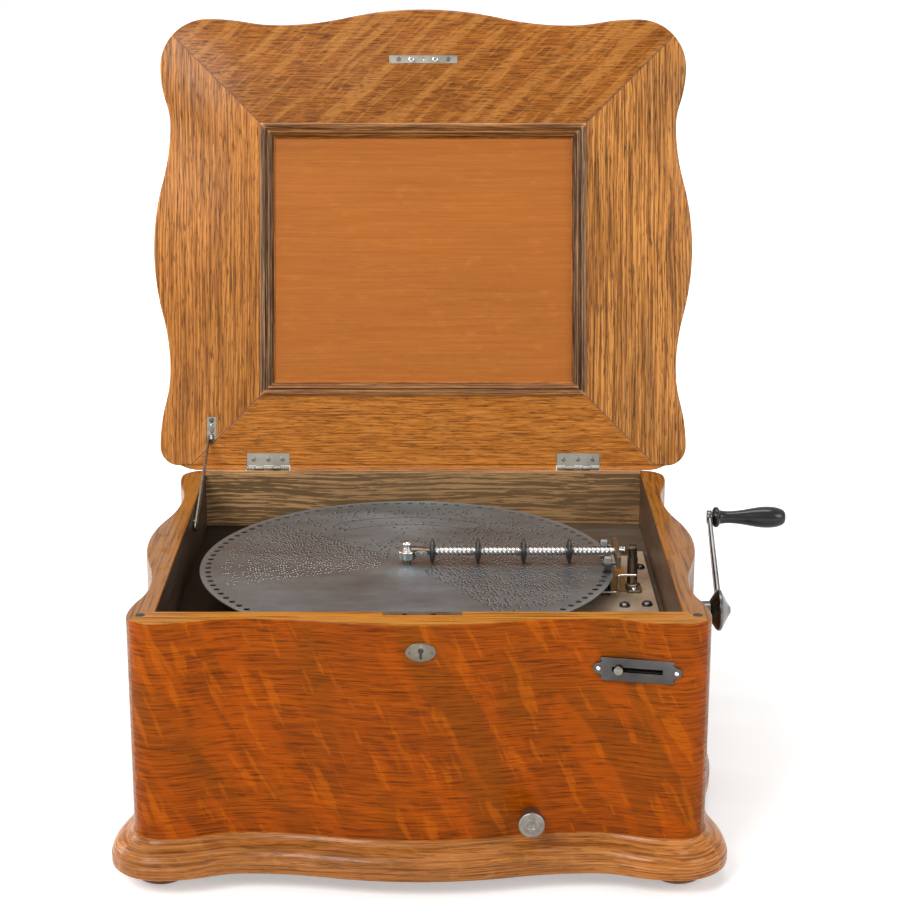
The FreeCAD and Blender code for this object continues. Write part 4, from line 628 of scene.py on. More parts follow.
def outline(offset, ear_y=EAR[1]):
    """The plan, as (x, y) points going round from the front left corner."""
    front_x = EAR[0] - CORNER
    front_y = -(ear_y - CORNER)
    back_x = EAR[0] + offset - BACK_CORNER
    back_y = BACK_Y - BACK_CORNER
    front = wave([(-front_x, ear_y), (-WAIST_ALONG_X, WAIST[1]), (0, BULGE[1]), (WAIST_ALONG_X, WAIST[1]),
                  (front_x, ear_y)], offset)
    side = wave([(front_y, EAR[0]), (SIDE_MIDDLE_Y - WAIST_ALONG_Y, WAIST[0]), (SIDE_MIDDLE_Y, BULGE[0]),
                 (SIDE_MIDDLE_Y + WAIST_ALONG_Y, WAIST[0]), (back_y, EAR[0])], offset)
    points = [(s, -n) for s, n in front]
    points += round_corner(front_x, front_y, CORNER + offset, -90)
    points += [(n, s) for s, n in side]
    points += round_corner(back_x, back_y, BACK_CORNER, 0)
    points += [(back_x, BACK_Y), (-back_x, BACK_Y)]
    points += round_corner(-back_x, back_y, BACK_CORNER, 90)
    points += [(-n, s) for s, n in reversed(side)]
    points += round_corner(-front_x, front_y, CORNER + offset, 180)
    return points


def crossing(points, corner, way):
    """Where the ray from corner along way leaves the outline: (edge number, share, point)."""
    cx, cy = corner
    dx, dy = way
    best = None
    for i, (ax, ay) in enumerate(points):
        bx, by = points[(i + 1) % len(points)]
        ex, ey = bx - ax, by - ay
        det = dx * -ey + dy * ex
        if abs(det) < 1e-9:
            continue
        t = ((ax - cx) * -ey + (ay - cy) * ex) / det
        s = (dx * (ay - cy) - dy * (ax - cx)) / det
        if t > 0 and -1e-9 <= s <= 1 + 1e-9 and (best is None or t < best[0]):
            best = (t, i, s, (cx + dx * t, cy + dy * t))
    return best[1], best[2], best[3]


def stretch_of(points, first, last, count):
    """The outline between two crossings, going round, as evenly spaced points."""
    i, _, start = first
    j, _, end = last
    path = [start]
    k = (i + 1) % len(points)
    while k != (j + 1) % len(points):
        path.append(points[k])
        k = (k + 1) % len(points)
    path.append(end)
    lengths = [0.0]
    for (ax, ay), (bx, by) in zip(path, path[1:]):
        lengths.append(lengths[-1] + math.hypot(bx - ax, by - ay))
    out = []
    seg = 0
    for k in range(count):
        target = lengths[-1] * k / (count - 1)
        while seg < len(path) - 2 and lengths[seg + 1] < target:
            seg += 1
        span = max(lengths[seg + 1] - lengths[seg], 1e-9)
        share = min(1.0, max(0.0, (target - lengths[seg]) / span))
        out.append((path[seg][0] + (path[seg + 1][0] - path[seg][0]) * share,
                    path[seg][1] + (path[seg + 1][1] - path[seg][1]) * share))
    return out


CORNERS = {
    "front": ((-1, -1), (1, -1)),
    "right": ((1, -1), (1, 1)),
    "back": ((1, 1), (-1, 1)),
    "left": ((-1, 1), (-1, -1)),
}
COUNT = 150


def outer_row(side, offset, z, half_x=INNER_X, half_y=INNER_Y, open_back=False, ear_y=EAR[1]):
    """The outline of one board at a height, between the mitres through the inner corners."""
    points = outline(offset, ear_y)
    ends = []
    for sx, sy in CORNERS[side]:
        if open_back and sy > 0:
            ends.append(crossing(points, (sx * (BACK_CORNER_X + offset), 0), (0, 1)))
        else:
            ends.append(crossing(points, (sx * half_x, sy * half_y), (sx, sy)))
    return [(x, y, z) for x, y in stretch_of(points, ends[0], ends[1], COUNT)]


def inner_row(side, half_x, half_y, z, back_y=None):
    """The straight inner edge of one board at a height."""
    start, end = [Vector((sx * half_x, sy * half_y if sy < 0 or back_y is None else back_y, z))
                  for sx, sy in CORNERS[side]]
    return [start.lerp(end, k / (COUNT - 1)) for k in range(COUNT)]


def board(rows):
    """A solid board from the rows round its section, with its mitred ends closed."""
    form = Form()
    form.grid(rows, closed_rows=True)
    form.cap([row[0] for row in rows])
    form.cap([row[-1] for row in rows])
    return form


# Case walls, with a softened rim
LEVELS = [40, 55, 80, 100, 125, 150, 175, 188, 200, 206, 214, 228, 236]
RIM_CURVE = [(0, RIM_Z - 2.2), (-0.25, RIM_Z - 1.1), (-0.9, RIM_Z - 0.35), (-2.0, RIM_Z - 0.05)]
WALL_PROFILE = [(0, WALL_Z)] + [(0, z) for z in LEVELS] + RIM_CURVE
INNER_EDGE = [(0.6, RIM_Z - 0.05), (0, RIM_Z - 0.7)] + [(0, z) for z in reversed(LEVELS)] + [(0, WALL_Z)]


def case_wall(side):
    open_back = side != "front"
    rows = [outer_row(side, offset, z, open_back=open_back) for offset, z in WALL_PROFILE]
    for widen, z in INNER_EDGE:
        rows.append(inner_row(side, INNER_X + widen, INNER_Y + widen, z, BACK_Y if open_back else None))
    return board(rows)


def start_point(x, y, z):
    """From the start plate's own frame to the case's."""
    c, s = math.cos(START_TURN), math.sin(START_TURN)
    return (START[0] + x * c - y * s, START[1] + x * s + y * c, START[2] + z)


def start_prism(form, points, y0, y1):
    """Extrudes (x, z) points of the plate's face between two depths."""
    return form.loft([[start_point(x, y, z) for x, z in points] for y in (y0, y1)])


def start_box(form, x0, x1, z0, z1, y0, y1):
    return start_prism(form, [(x0, z0), (x1, z0), (x1, z1), (x0, z1)], y0, y1)


def keyhole(form, y0, y1):
    """A round bow with a slot below it, as one outline."""
    x0, _, z0 = ESCUTCHEON
    points = []
    for k in range(21):
        a = math.radians(-64 + 308 * k / 20)
        points.append((x0 + 2.5 * math.cos(a), z0 + 1.6 + 2.5 * math.sin(a)))
    points += [(x0 - 1.2, z0 - 5.2), (x0 - 0.7, z0 - 5.9), (x0 + 0.7, z0 - 5.9), (x0 + 1.2, z0 - 5.2)]
    return form.loft([[(x, y, z) for x, z in points] for y in (y0, y1)])


front_cuts = Form()
front_cuts.box(-31, 37, -213, -190, RIM_Z - 40, RIM_Z + 5)
start_box(front_cuts, -22.5, 22.5, -2.3, 2.3, -20, 60)
piece("case_front", case_wall("front"), front_oak, "case", ["front_panel"], cutters=front_cuts)
piece("case_left", case_wall("left"), side_oak, "case", ["left_side"])
piece("case_right", case_wall("right"), side_oak, "case", ["right_side"])

# Painted shade on the inner faces: thin sheets just off the walls, darker than the outside, near-black on the
# left and dark brown on the right and front
inside_deep_painted_shade = oak("inside_deep_painted_shade", GRAIN_Y, (0.006, 0.004, 0.003), (0.022, 0.013, 0.008),
                  (0.050, 0.028, 0.014), pitch=140.0, contrast=0.6, pores=0.3, blotch=0.4, gloss=0.42)
inside_painted_shade = oak("inside_painted_shade", GRAIN_Y, (0.030, 0.013, 0.006), (0.064, 0.031, 0.015),
                   (0.108, 0.057, 0.029), pitch=140.0, contrast=0.4, pores=0.3, blotch=0.45, gloss=0.40)
for sign, name, material in ((-1, "inside_left", inside_deep_painted_shade), (1, "inside_right", inside_painted_shade)):
    shade_sheet = Form()
    low, high = sorted((sign * (INNER_X - 0.25), sign * (INNER_X + 0.05)))
    shade_sheet.box(low, high, -INNER_Y, INNER_Y - 0.2, 191, RIM_Z - 1.4)
    piece(name, shade_sheet, material, "case")
shade_sheet = Form()
shade_sheet.box(-INNER_X + 0.4, -35, -INNER_Y - 0.05, -INNER_Y + 0.25, 191, RIM_Z - 1.4)
shade_sheet.box(41, 145, -INNER_Y - 0.05, -INNER_Y + 0.25, 191, RIM_Z - 1.4)
piece("inside_front", shade_sheet, inside_painted_shade, "case")


# Dark plugs in the rim at the front corners, and a slim rail behind the back rim
plugs = Form()
for x in (-238.5, 238.5):
    plugs.lathe([(-0.8, 0), (-0.8, 4.3), (0.02, 4.3), (0.08, 4.0), (0.08, 0)], (x, -212.5, RIM_Z), Z_AXIS,
                32)
piece("rim_plugs", plugs, dark_marks_and_hole_shade, "case")
rail = Form()
for x0, x1 in ((-229.0, -185.6), (-139.4, 139.4), (185.6, 229.0)):
    rail.box(x0, x1, BACK_Y + 0.02, BACK_Y + 1.15, RIM_Z - 16, RIM_Z)
piece("rim_back_rail", rail, plinth_across, "case")


# Plinth: fascia, small fillet, swelling roll and cove up to the case
def plinth_piece(side):
    open_back = side != "front"
    roll = spline([(20.0, 28.4), (18.9, 33.2), (14.6, 38.0), (8.6, 41.2), (4.6, 43.4), (2.2, 46.0),
                   (1.5, 47.3)], 4)
    profile = [(20.0, FOOT_HEIGHT), (20.8, FOOT_HEIGHT + 0.8), (21.0, FOOT_HEIGHT + 2), (21.0, 26.8),
               (20.8, 27.6), (20.2, 28.0)] + roll + [(0.9, PLINTH_TOP), (0.05, PLINTH_TOP)]
    rows = [outer_row(side, offset, z, open_back=open_back) for offset, z in profile]
    rows.append(outer_row(side, 0.05, FOOT_HEIGHT, open_back=open_back))
    return board(rows)


piece("plinth_roll_front", plinth_piece("front"), plinth_across, "case", ["plinth_front"])
piece("plinth_roll_left", plinth_piece("left"), plinth_along, "case", ["plinth_left"])
piece("plinth_roll_right", plinth_piece("right"), plinth_along, "case", ["plinth_right"])

feet = Form()
foot_profile = [(0, 0), (0, 15.5), (0.5, 17.6)]
foot_profile += spline([(0.9, 18.2), (3.5, 22.4), (8.7, 24.95), (13.6, 23.2), (15.6, 19.5)], 5)
foot_profile += [(FOOT_HEIGHT, 18.0), (FOOT_HEIGHT, 0)]
for x, y in FOOT_PLACES:
    feet.lathe(foot_profile, (x, y, 0), Z_AXIS, 56)
piece("bun_feet", feet, turned_oak, "case", ["feet"])


# Lid: mitred frame boards with a moulded bead round a recessed panel
BEAD = [(171, 0), (170.6, -1.6), (169.6, -2.6), (168.2, -3.0), (166.6, -2.7), (165.3, -1.6), (164.6, 0.2),
        (163.8, 0.4), (163.4, -0.4), (162.4, -1.0), (161.2, -0.8), (160.4, 0.2), (159.9, 1.6), (159.0, 2.0),
        (158.2, 3.2), (157.2, 5.4), (156.0, 6.4), (156.0, 8.0), (164.0, 8.0), (164.0, 22.0)]
LID_EDGE = [(14.0, 22.0), (18.6, 19.6), (22.6, 16.2), (24.6, 13.6), (25.0, 12.0), (25.0, 3.4), (24.6, 1.8),
            (23.6, 0.6), (22.0, 0.0)]


def frame_row(side, half_x, z):
    """An inner row of the lid's frame, from its half width; its half depth keeps the mitres at 45 degrees."""
    return inner_row(side, half_x, half_x + MITRE_Y - MITRE_X, LID_Z + z)


def lid_board(side):
    rows = [frame_row(side, half_x, z) for half_x, z in BEAD]
    for offset, z in LID_EDGE:
        rows.append(outer_row(side, offset, LID_Z + z, MITRE_X, MITRE_Y, ear_y=LID_EAR_Y))
    return board(rows)


leaf_cuts = Form()
for x in HINGE_XS:
    leaf_cuts.box(x - 22.5, x + 22.5, PIN_Y - 16, BACK_Y + 5, LID_Z - 5, LID_Z + 1.8)
striker_cut = Form()
striker_cut.box(-36, 36, -214, -205.6, LID_Z - 5, LID_Z + 1.5)
bracket_cut = Form()
bracket_cut.box(-226.8, -216.8, PIN_Y - 54, PIN_Y - 30, LID_Z - 5, LID_Z + 2)
back_lip = Form()
for x0, x1 in ((-254.0, -185.4), (-139.6, 139.6), (185.4, 254.0)):
    rows = []
    for x in (x0, x0 + 0.5, x0 + 4, x0 + 9, x0 + 16, x1 - 16, x1 - 9, x1 - 4, x1 - 0.5, x1):
        outer = abs(x) > 185.4
        from_end = 254.0 - abs(x)
        out = 4.7 * math.sin(math.pi / 2 * min(1.0, max(0.03, from_end / 16))) if outer else 4.7
        profile = [(-2.0, 0.0), (out - 0.8, 0.0), (out - 0.2, 0.5), (out, 1.5), (out, 20.5),
                   (out - 0.5, 21.6), (out - 1.6, 22.0), (-2.0, 22.0)]
        rows.append([(x, BACK_Y + max(y, -2.0), LID_Z + z) for y, z in profile])
    back_lip.loft(rows)
piece("lid_back_edge", back_lip, lid_oak_back, "lid", lid=True)
for side, material, cutters in (("front", lid_oak_across, striker_cut), ("back", lid_oak_back, leaf_cuts),
                                ("left", lid_oak_left, bracket_cut), ("right", lid_oak_right, None)):
    piece("lid_frame_" + side, lid_board(side), material, "lid", ["lid_" + side + "_board"],
          lid=True, cutters=cutters)

# Dark glaze on the bead, with bright lines on its crests: partly worn edges, partly a painted highlight
bead_oak_x_painted_highlight = oak("bead_oak_x_painted_highlight", GRAIN_X, (0.050, 0.018, 0.004), (0.18, 0.062, 0.013), (0.46, 0.210, 0.060),
                 contrast=0.5, pores=0.5, blotch=0.2, gloss=0.26, coat=0.2, wear_and_highlight=0.85)
bead_oak_y_painted_highlight = oak("bead_oak_y_painted_highlight", GRAIN_Y, (0.024, 0.010, 0.004), (0.085, 0.036, 0.014), (0.40, 0.215, 0.090),
                 contrast=0.5, pores=0.5, blotch=0.2, gloss=0.26, coat=0.2, wear_and_highlight=0.85)
BEAD_SKIN = [(170.7, -0.2), (170.75, -1.65), (169.7, -2.72), (168.2, -3.12), (166.5, -2.82), (165.2, -1.7),
             (164.5, 0.08), (163.8, 0.28), (163.35, -0.5), (162.4, -1.12), (161.15, -0.92), (160.3, 0.1),
             (159.85, 1.5), (158.95, 1.9), (158.1, 3.1), (157.1, 5.3), (156.3, 6.3), (156.3, 7.2),
             (159.5, 4.4), (163.9, 1.6), (168.2, -0.6)]
for side in ("front", "back", "left", "right"):
    rows = [frame_row(side, half_x, z) for half_x, z in BEAD_SKIN]
    piece("lid_bead_" + side, board(rows), bead_oak_x_painted_highlight if side in ("front", "back") else bead_oak_y_painted_highlight, "lid",
          lid=True)

glaze = metal("dark_glaze", (0.040, 0.015, 0.004), (0.090, 0.034, 0.009), rough=0.5, metallic=0.0)
joints = Form()
for sx, sy in ((-1, -1), (-1, 1), (1, -1), (1, 1)):
    x0, y0 = sx * (MITRE_X + 0.2), sy * (MITRE_Y + 0.2)
    x1, y1 = crossing(outline(21.5, LID_EAR_Y), (x0, y0), (sx, sy))[2]
    across_x, across_y = 0.30 * sx, 0.30 * sy
    corners = [(x0 - across_x, y0 + across_y), (x1 - across_x, y1 + across_y),
               (x1 + across_x, y1 - across_y), (x0 + across_x, y0 - across_y)]
    joints.prism([(x, y, LID_Z - 0.04) for x, y in corners], (0, 0, 0.3))
piece("lid_mitre_lines", joints, glaze, "lid", lid=True)

CAP = [(2.0, 0.02), (6.0, 0.02), (6.0, 4.2), (5.4, 5.4)]
for k in range(1, 9):
    a = math.pi / 2 * k / 8
    CAP.append((5.4 - 17.0 * math.sin(a), 5.4 + 7.4 * (1 - math.cos(a))))
CAP.append((-12.0, 13.0))
cap = Form()
cap.loft([[(x, y, LID_TOP + z) for x, y in outline(offset, LID_EAR_Y)] for offset, z in CAP])
piece("lid_cap", cap, lid_oak_across, "lid", ["lid_top_board"], lid=True)


# Hinges
KNUCKLE = [(0, 1.35), (0, 2.35), (0.25, 2.6), (8.55, 2.6), (8.8, 2.35), (8.8, 1.35)]
lid_leaves = Form()
case_leaves = Form()
hinge_screws = Form()
case_hinge_screws = Form()
pins = Form()
for centre_x in HINGE_XS:
    lid_leaves.box(centre_x - 22.3, centre_x + 22.3, PIN_Y - 15.9, BACK_Y, LID_Z + 0.1, LID_Z + 1.75)
    case_leaves.box(centre_x - 22.5, centre_x + 22.5, BACK_Y, BACK_Y + 1.8, PIN_Z - 16, PIN_Z - 3.2)
    for k in range(5):
        x0 = centre_x - 22.5 + k * 9 + 0.1
        x1 = x0 + 8.8
        target = lid_leaves if k % 2 else case_leaves
        target.lathe(KNUCKLE, (x0, PIN_Y, PIN_Z), X_AXIS, 28, closed=True)
        if k % 2:
            lid_leaves.box(x0, x1, BACK_Y - 0.2, PIN_Y - 0.9, LID_Z + 0.1, LID_Z + 1.75)
        else:
            case_leaves.box(x0, x1, BACK_Y, BACK_Y + 1.8, PIN_Z - 5, PIN_Z - 0.8)
    pins.rod(1.28, (centre_x - 22.4, PIN_Y, PIN_Z), (centre_x + 22.4, PIN_Y, PIN_Z), 20)
    for k, x in enumerate((-15, 0, 15)):
        hinge_screws.screw((centre_x + x, PIN_Y - 9.6, LID_Z + 0.15), (0, 0, -1), 2.5, 0.55, 0.6 + k,
                           domed=False)
        case_hinge_screws.screw((centre_x + x, BACK_Y + 1.75, PIN_Z - 9.8), (0, 1, 0), 2.3, 0.5, 0.3 + k,
                                domed=False)
piece("hinge_leaf_lid", lid_leaves, nickel, "lid", ["hinge_lid_leaves"], lid=True, bevel=0.15)
piece("hinge_leaf_case", case_leaves, nickel, "case", ["hinge_case_leaves"], bevel=0.15)
piece("hinge_screws_lid", hinge_screws, dull_nickel, "lid", lid=True)
piece("hinge_screws_case", case_hinge_screws, dull_nickel, "case")
piece("hinge_wires", pins, dull_nickel, "case", ["hinge_pins"])

# Striker plate with two pegs, two screws and a middle hole
striker = Form()
striker.box(-35.8, 35.8, -213.9, -205.7, LID_Z + 0.1, LID_Z + 1.45)
hole = Form()
hole.rod(1.6, (0, PEG_Y, LID_Z - 2), (0, PEG_Y, LID_Z + 1.0), 20)
piece("striker_strip", striker, nickel, "lid", ["striker_plate"], lid=True, bevel=0.25,
      cutters=hole)
pegs = Form()
for x in PEG_XS:
    pegs.lathe([(0.2, 0), (0.2, 2.6), (-0.4, 2.6), (-0.7, 1.6), (-6.4, 1.6), (-7.6, 1.3), (-8.5, 0.7),
                (-8.5, 0)], (x, PEG_Y, LID_Z), Z_AXIS, 28)
piece("striker_pegs", pegs, bright_nickel, "lid", lid=True)
screws = Form()
for x, turn in ((-26, 0.4), (26, 1.9)):
    screws.screw((x, PEG_Y, LID_Z + 0.15), (0, 0, -1), 2.6, 0.6, turn, domed=False)
piece("striker_screws", screws, screw_dark, "lid", lid=True)

# Lock with its selvedge flush in the rim, and the escutcheon
lock = Form()
lock.box(-30.9, 36.9, -212.9, -204.2, RIM_Z - 39.9, RIM_Z - 0.1)
peg_holes = Form()
for x in PEG_XS:
    peg_holes.rod(2.6, (x, PEG_Y, RIM_Z - 14), (x, PEG_Y, RIM_Z + 2), 24)
piece("lock_box", lock, dull_nickel, "case", ["lock_case"], bevel=0.3, cutters=peg_holes)

x0, y0, z0 = ESCUTCHEON
oval = Form()
rings = []
for share, lift in ((0.0, 0.0), (1.0, 0.0), (1.0, 0.75), (0.985, 1.05), (0.955, 1.28), (0.90, 1.38),
                    (0.0, 1.40)):
    share = max(share, 0.0001)
    rings.append(ring((x0, y0 + 0.4 - lift, z0), X_AXIS * 13.2 * share, Z_AXIS * 8.6 * share, 64))
oval.grid(rings, closed_columns=True)
bow = keyhole(Form(), -250, -230)
piece("escutcheon_oval", oval, dull_nickel, "case", ["escutcheon"], cutters=bow)
tacks = Form()
for sign in (-1, 1):
    tacks.lathe([(0, 0), (0, 1.1), (0.35, 0.95), (0.6, 0.5), (0.65, 0)],
                (x0 + sign * 9.6, y0 - 0.95, z0 - 0.6), (0, -1, 0), 20)
piece("escutcheon_tacks", tacks, screw_dark, "case")
# Painted shade: a dark sheet inside the keyhole, where the board behind is not cut
shade = keyhole(Form(), y0 - 0.25, y0 - 0.1)
piece("keyhole_dark", shade, dark_marks_and_hole_shade, "case")

# Slotted stay: bracket on the lid, bar, and stud in the left side
bracket = Form()
bracket.box(-226.7, -216.9, PIN_Y - 53.9, PIN_Y - 30.1, LID_Z + 0.1, LID_Z + 1.9)
ear_x, pivot_y, pivot_z = STAY_X + 1.3, STAY_PIVOT[1], STAY_PIVOT[2]
ear = []
for k in range(17):
    a = math.pi * k / 16
    ear.append((ear_x, pivot_y + 5 * math.cos(a), pivot_z + 2 - 5 * math.sin(a)))
ear += [(ear_x, pivot_y - 5, LID_Z + 0.3), (ear_x, pivot_y + 5, LID_Z + 0.3)]
bracket.prism(ear, (2.5, 0, 0))
bracket.rod(1.75, (STAY_X - 1.5, pivot_y, pivot_z), (STAY_X + 4.6, pivot_y, pivot_z), 24)
rings = []
for share, lift in ((1.0, 0.1), (1.0, -0.7), (0.9, -1.1), (0.6, -1.3), (0.0, -1.3)):
    rings.append(ring((STAY_X + 2.4, PIN_Y - 42, LID_Z + lift), X_AXIS * 2.7 * share, Y_AXIS * 5.2 * share,
                      28))
bracket.grid(rings, closed_columns=True)
piece("stay_foot", bracket, nickel, "lid", ["stay_bracket"], lid=True, bevel=0.2)
stay_screws = Form()
for y, turn in ((PIN_Y - 50.4, 0.8), (PIN_Y - 33.6, 2.0)):
    stay_screws.screw((STAY_X + 2.4, y, LID_Z + 0.15), (0, 0, -1), 2.7, 0.9, turn)
piece("stay_screws", stay_screws, screw_dark, "lid", lid=True)

pivot_open = LID_OPENED @ at(*STAY_PIVOT)
stay_reach = at(*STAY_STUD) - pivot_open
along = stay_reach.normalized()
across = X_AXIS.cross(along).normalized()
span = stay_reach.length * 1000


def stay_point(x, s, w):
    """From the stay's own length and width to the case's millimetres."""
    p = pivot_open + (along * s + across * w) / 1000
    return (STAY_X + x, p.y * 1000 + ORIGIN_Y, p.z * 1000)


def stay_plate(form, half_width, s0, s1, half_thick):
    """A flat bar with round ends, between two lengths along the stay."""
    turns = [math.pi * k / 14 for k in range(15)]
    points = [(s1 + half_width * math.sin(a), half_width * math.cos(a)) for a in turns]
    points += [(s0 - half_width * math.sin(a), -half_width * math.cos(a)) for a in turns]
    return form.loft([[stay_point(x, s, w) for s, w in points] for x in (-half_thick, half_thick)])


bar = stay_plate(Form(), 3.95, 0, 150, 0.95)
slots = Form()
stay_plate(slots, 2.2, span - 95, span + 2, 2)
stay_plate(slots, 1.9, 0, 0.001, 2)
piece("stay_strap", bar, nickel, "stay", ["stay_bar"], bevel=0.25, cutters=slots)
stay_pin = Form()
stay_pin.rod(1.98, (-INNER_X - 4, *STAY_STUD[1:]), (STAY_X - 1.5, *STAY_STUD[1:]), 28)
piece("stay_pin", stay_pin, nickel, "case", ["stay_stud"])


# Tune disc and its punched tune
def disc_form():
    """Both faces in rings, then a sector with its drive hole, 96 times, then the centre hole and the rim."""
    form = Form()
    per = 4
    half = math.pi / DRIVE_HOLES
    fan = [half * (2 * k / per - 1) for k in range(per + 1)]

    def circle(radius, z):
        return ring((DISC_X, 0, z), X_AXIS * radius, Y_AXIS * radius, DRIVE_HOLES * per)

    for z in (DISC_TOP, DISC_UNDER):
        form.grid([circle(r, z) for r in (4.0, 6.0, 30.0, 80.0, 130.0, 176.0, HOLE_BAND)],
                  closed_columns=True)
    for i in range(DRIVE_HOLES):
        middle = 2 * math.pi * i / DRIVE_HOLES
        border = [(HOLE_BAND, middle + turn) for turn in fan]
        border += [(r, middle + half) for r in (188.0, 192.4)]
        border += [(DISC_RADIUS, middle - turn) for turn in fan]
        border += [(r, middle - half) for r in (192.4, 188.0)]
        border = [(DISC_X + r * math.cos(a), r * math.sin(a)) for r, a in border]
        cx, cy = DISC_X + HOLE_CIRCLE * math.cos(middle), HOLE_CIRCLE * math.sin(middle)
        turns = [math.atan2(y - cy, x - cx) for x, y in border]
        hole = [(cx + HOLE_RADIUS * math.cos(a), cy + HOLE_RADIUS * math.sin(a)) for a in turns]
        levels = ((border, DISC_TOP), (hole, DISC_TOP), (hole, DISC_UNDER), (border, DISC_UNDER))
        form.grid([[(x, y, z) for x, y in points] for points, z in levels], closed_columns=True)
    for radius in (4.0, DISC_RADIUS):
        form.grid([circle(radius, DISC_TOP), circle(radius, DISC_UNDER)], closed_columns=True)
    return form


piece("tune_sheet", disc_form(), disc_steel, "disc", ["tune_disc"])


def tune_marks():
    """Punched marks as (radius, angle, length), with a blank stretch at the tune's end."""
    rng = random.Random(15)
    marks = []
    for track in range(58):
        radius = 26.0 + track * 2.62
        steps = int(radius * 2 * math.pi / 4.6)
        for k in range(steps):
            degrees = 360.0 * (k + rng.uniform(-0.3, 0.3)) / steps - 180.0
            if -160 < degrees < -58:
                continue
            share = 0.62 if degrees > 135 or degrees < -150 else 0.24
            if -58 < degrees < 25:
                share = 0.46
            if 60 < degrees < 135 and 70 < radius < 150:
                share = 0.07
            if radius > 150:
                share *= 0.6
            if rng.random() < share:
                marks.append((radius, math.radians(degrees), rng.uniform(1.9, 3.1)))
    return marks


# The dark sheets just above the disc are painted shade, as seen through its punched slots; the arcs with
# bowed ends draw a dark banner outline
slots = Form()
lips = Form()
for radius, angle, length in tune_marks():
    c, s = math.cos(angle), math.sin(angle)

    def mark(r, t, z):
        return (DISC_X + r * c - t * s, r * s + t * c, DISC_TOP + z)

    slots.grid([[mark(radius - 0.9, -length / 2 - 0.5, 0.02), mark(radius + 0.9, -length / 2 - 0.5, 0.02)],
                [mark(radius - 0.9, length / 2, 0.02), mark(radius + 0.9, length / 2, 0.02)]])
    base = [mark(radius - 0.75, length / 2, 0.0), mark(radius + 0.75, length / 2, 0.0),
            mark(radius + 0.55, length / 2 + 0.75, 0.0), mark(radius - 0.55, length / 2 + 0.75, 0.0)]
    ridge = [mark(radius - 0.45, length / 2 + 0.25, 0.24), mark(radius + 0.45, length / 2 + 0.25, 0.24)]
    lips.verts.extend(base + ridge)
    first = len(lips.verts) - 6
    lips.faces.extend([(first, first + 1, first + 5, first + 4),
                       (first + 2, first + 3, first + 4, first + 5),
                       (first + 1, first + 2, first + 5), (first + 3, first, first + 4)])
for inner, outer in ((118.0, 119.1), (141.0, 142.1)):
    rows = []
    for r in (inner, outer):
        turns = [math.radians(60 + k) for k in range(61)]
        rows.append([(DISC_X + r * math.cos(a), r * math.sin(a), DISC_TOP + 0.02) for a in turns])
    slots.grid(rows)
for end, sign in ((60, -1), (120, 1)):
    for bow in (6.0, 2.72):
        rows = []
        for width in (0.0, 0.6):
            row = []
            for k in range(25):
                a = math.radians(end + sign * bow * math.sin(math.pi * k / 24))
                radius = 119.0 + (22.0 * k / 24) + (width if k < 12 else -width)
                row.append((DISC_X + radius * math.cos(a), radius * math.sin(a), DISC_TOP + 0.02))
            rows.append(row)
        slots.grid(rows)
piece("tune_slots", slots, dark_marks_and_hole_shade, "disc")
piece("tune_lips", lips, punched_lip, "disc")

# Pressure arm: hub cup with its finial, twisted bar, rollers and edge rollers
hub = Form()
hub_profile = [(-8, 0), (-8, 6.6), (-7.4, 7.6)] + spline([(-6.6, 8.2), (-3.4, 8.45), (-0.4, 8.5)], 3)
hub_profile += [(0.2, 8.5), (0.7, 8.2), (0.9, 7.6)] + spline([(1.2, 6.6), (2.4, 4.2), (3.6, 3.0)], 4)
hub_profile += [(4.0, 2.7)] + spline([(4.2, 3.2), (5.4, 4.3), (7.4, 4.4), (9.0, 3.2), (9.8, 1.2),
                                      (9.95, 0)], 4)
hub.lathe(hub_profile, (DISC_X, 0, ARM_Z), Z_AXIS, 56)
piece("hub_cup", hub, bright_nickel, "arm", ["arm_hub"])
block = Form()
HUB_END = ROLLER_XS[0] - 3.4
rows = []
for x, half_y, half_z in ((DISC_X + 4, 4.6, 4.2), (DISC_X + 9, 4.8, 4.4), (DISC_X + 14, 5.0, 4.0),
                          (HUB_END - 4, 5.0, 3.6), (HUB_END, 4.4, 3.4)):
    rows.append(ring((x, 0, ARM_Z), Y_AXIS * half_y, Z_AXIS * half_z, 32, 0.55))
block.loft(rows)
piece("hub_block", block, dull_nickel, "arm")
wing = Form()
wing_points = []
for k in range(48):
    a = 2 * math.pi * k / 48
    r = 2.9 + 3.3 * abs(math.cos(a)) ** 3
    wing_points.append((r * math.cos(a), -6.5, ARM_Z + r * math.sin(a) * 0.75))
wing.prism(wing_points, (0, -1.5, 0))
wing.rod(1.15, (0, -8.3, ARM_Z), (0, -5.0, ARM_Z), 20)
piece("hub_wing", wing, bright_nickel, "latch", ["hub_latch"], bevel=0.3)

twisted = Form()
BAR_RADIUS = 3.25
TWIST_PITCH = 17.0


def twist_section(x):
    """The bar's rounded square section, turned according to its place."""
    turn = 2 * math.pi * x / TWIST_PITCH
    section = []
    for k in range(16):
        a = 2 * math.pi * k / 16
        radius = BAR_RADIUS * (1.0 + 0.20 * math.sin(2 * a) ** 2)
        section.append((x, radius * math.cos(a + turn), ARM_Z + radius * math.sin(a + turn)))
    return section


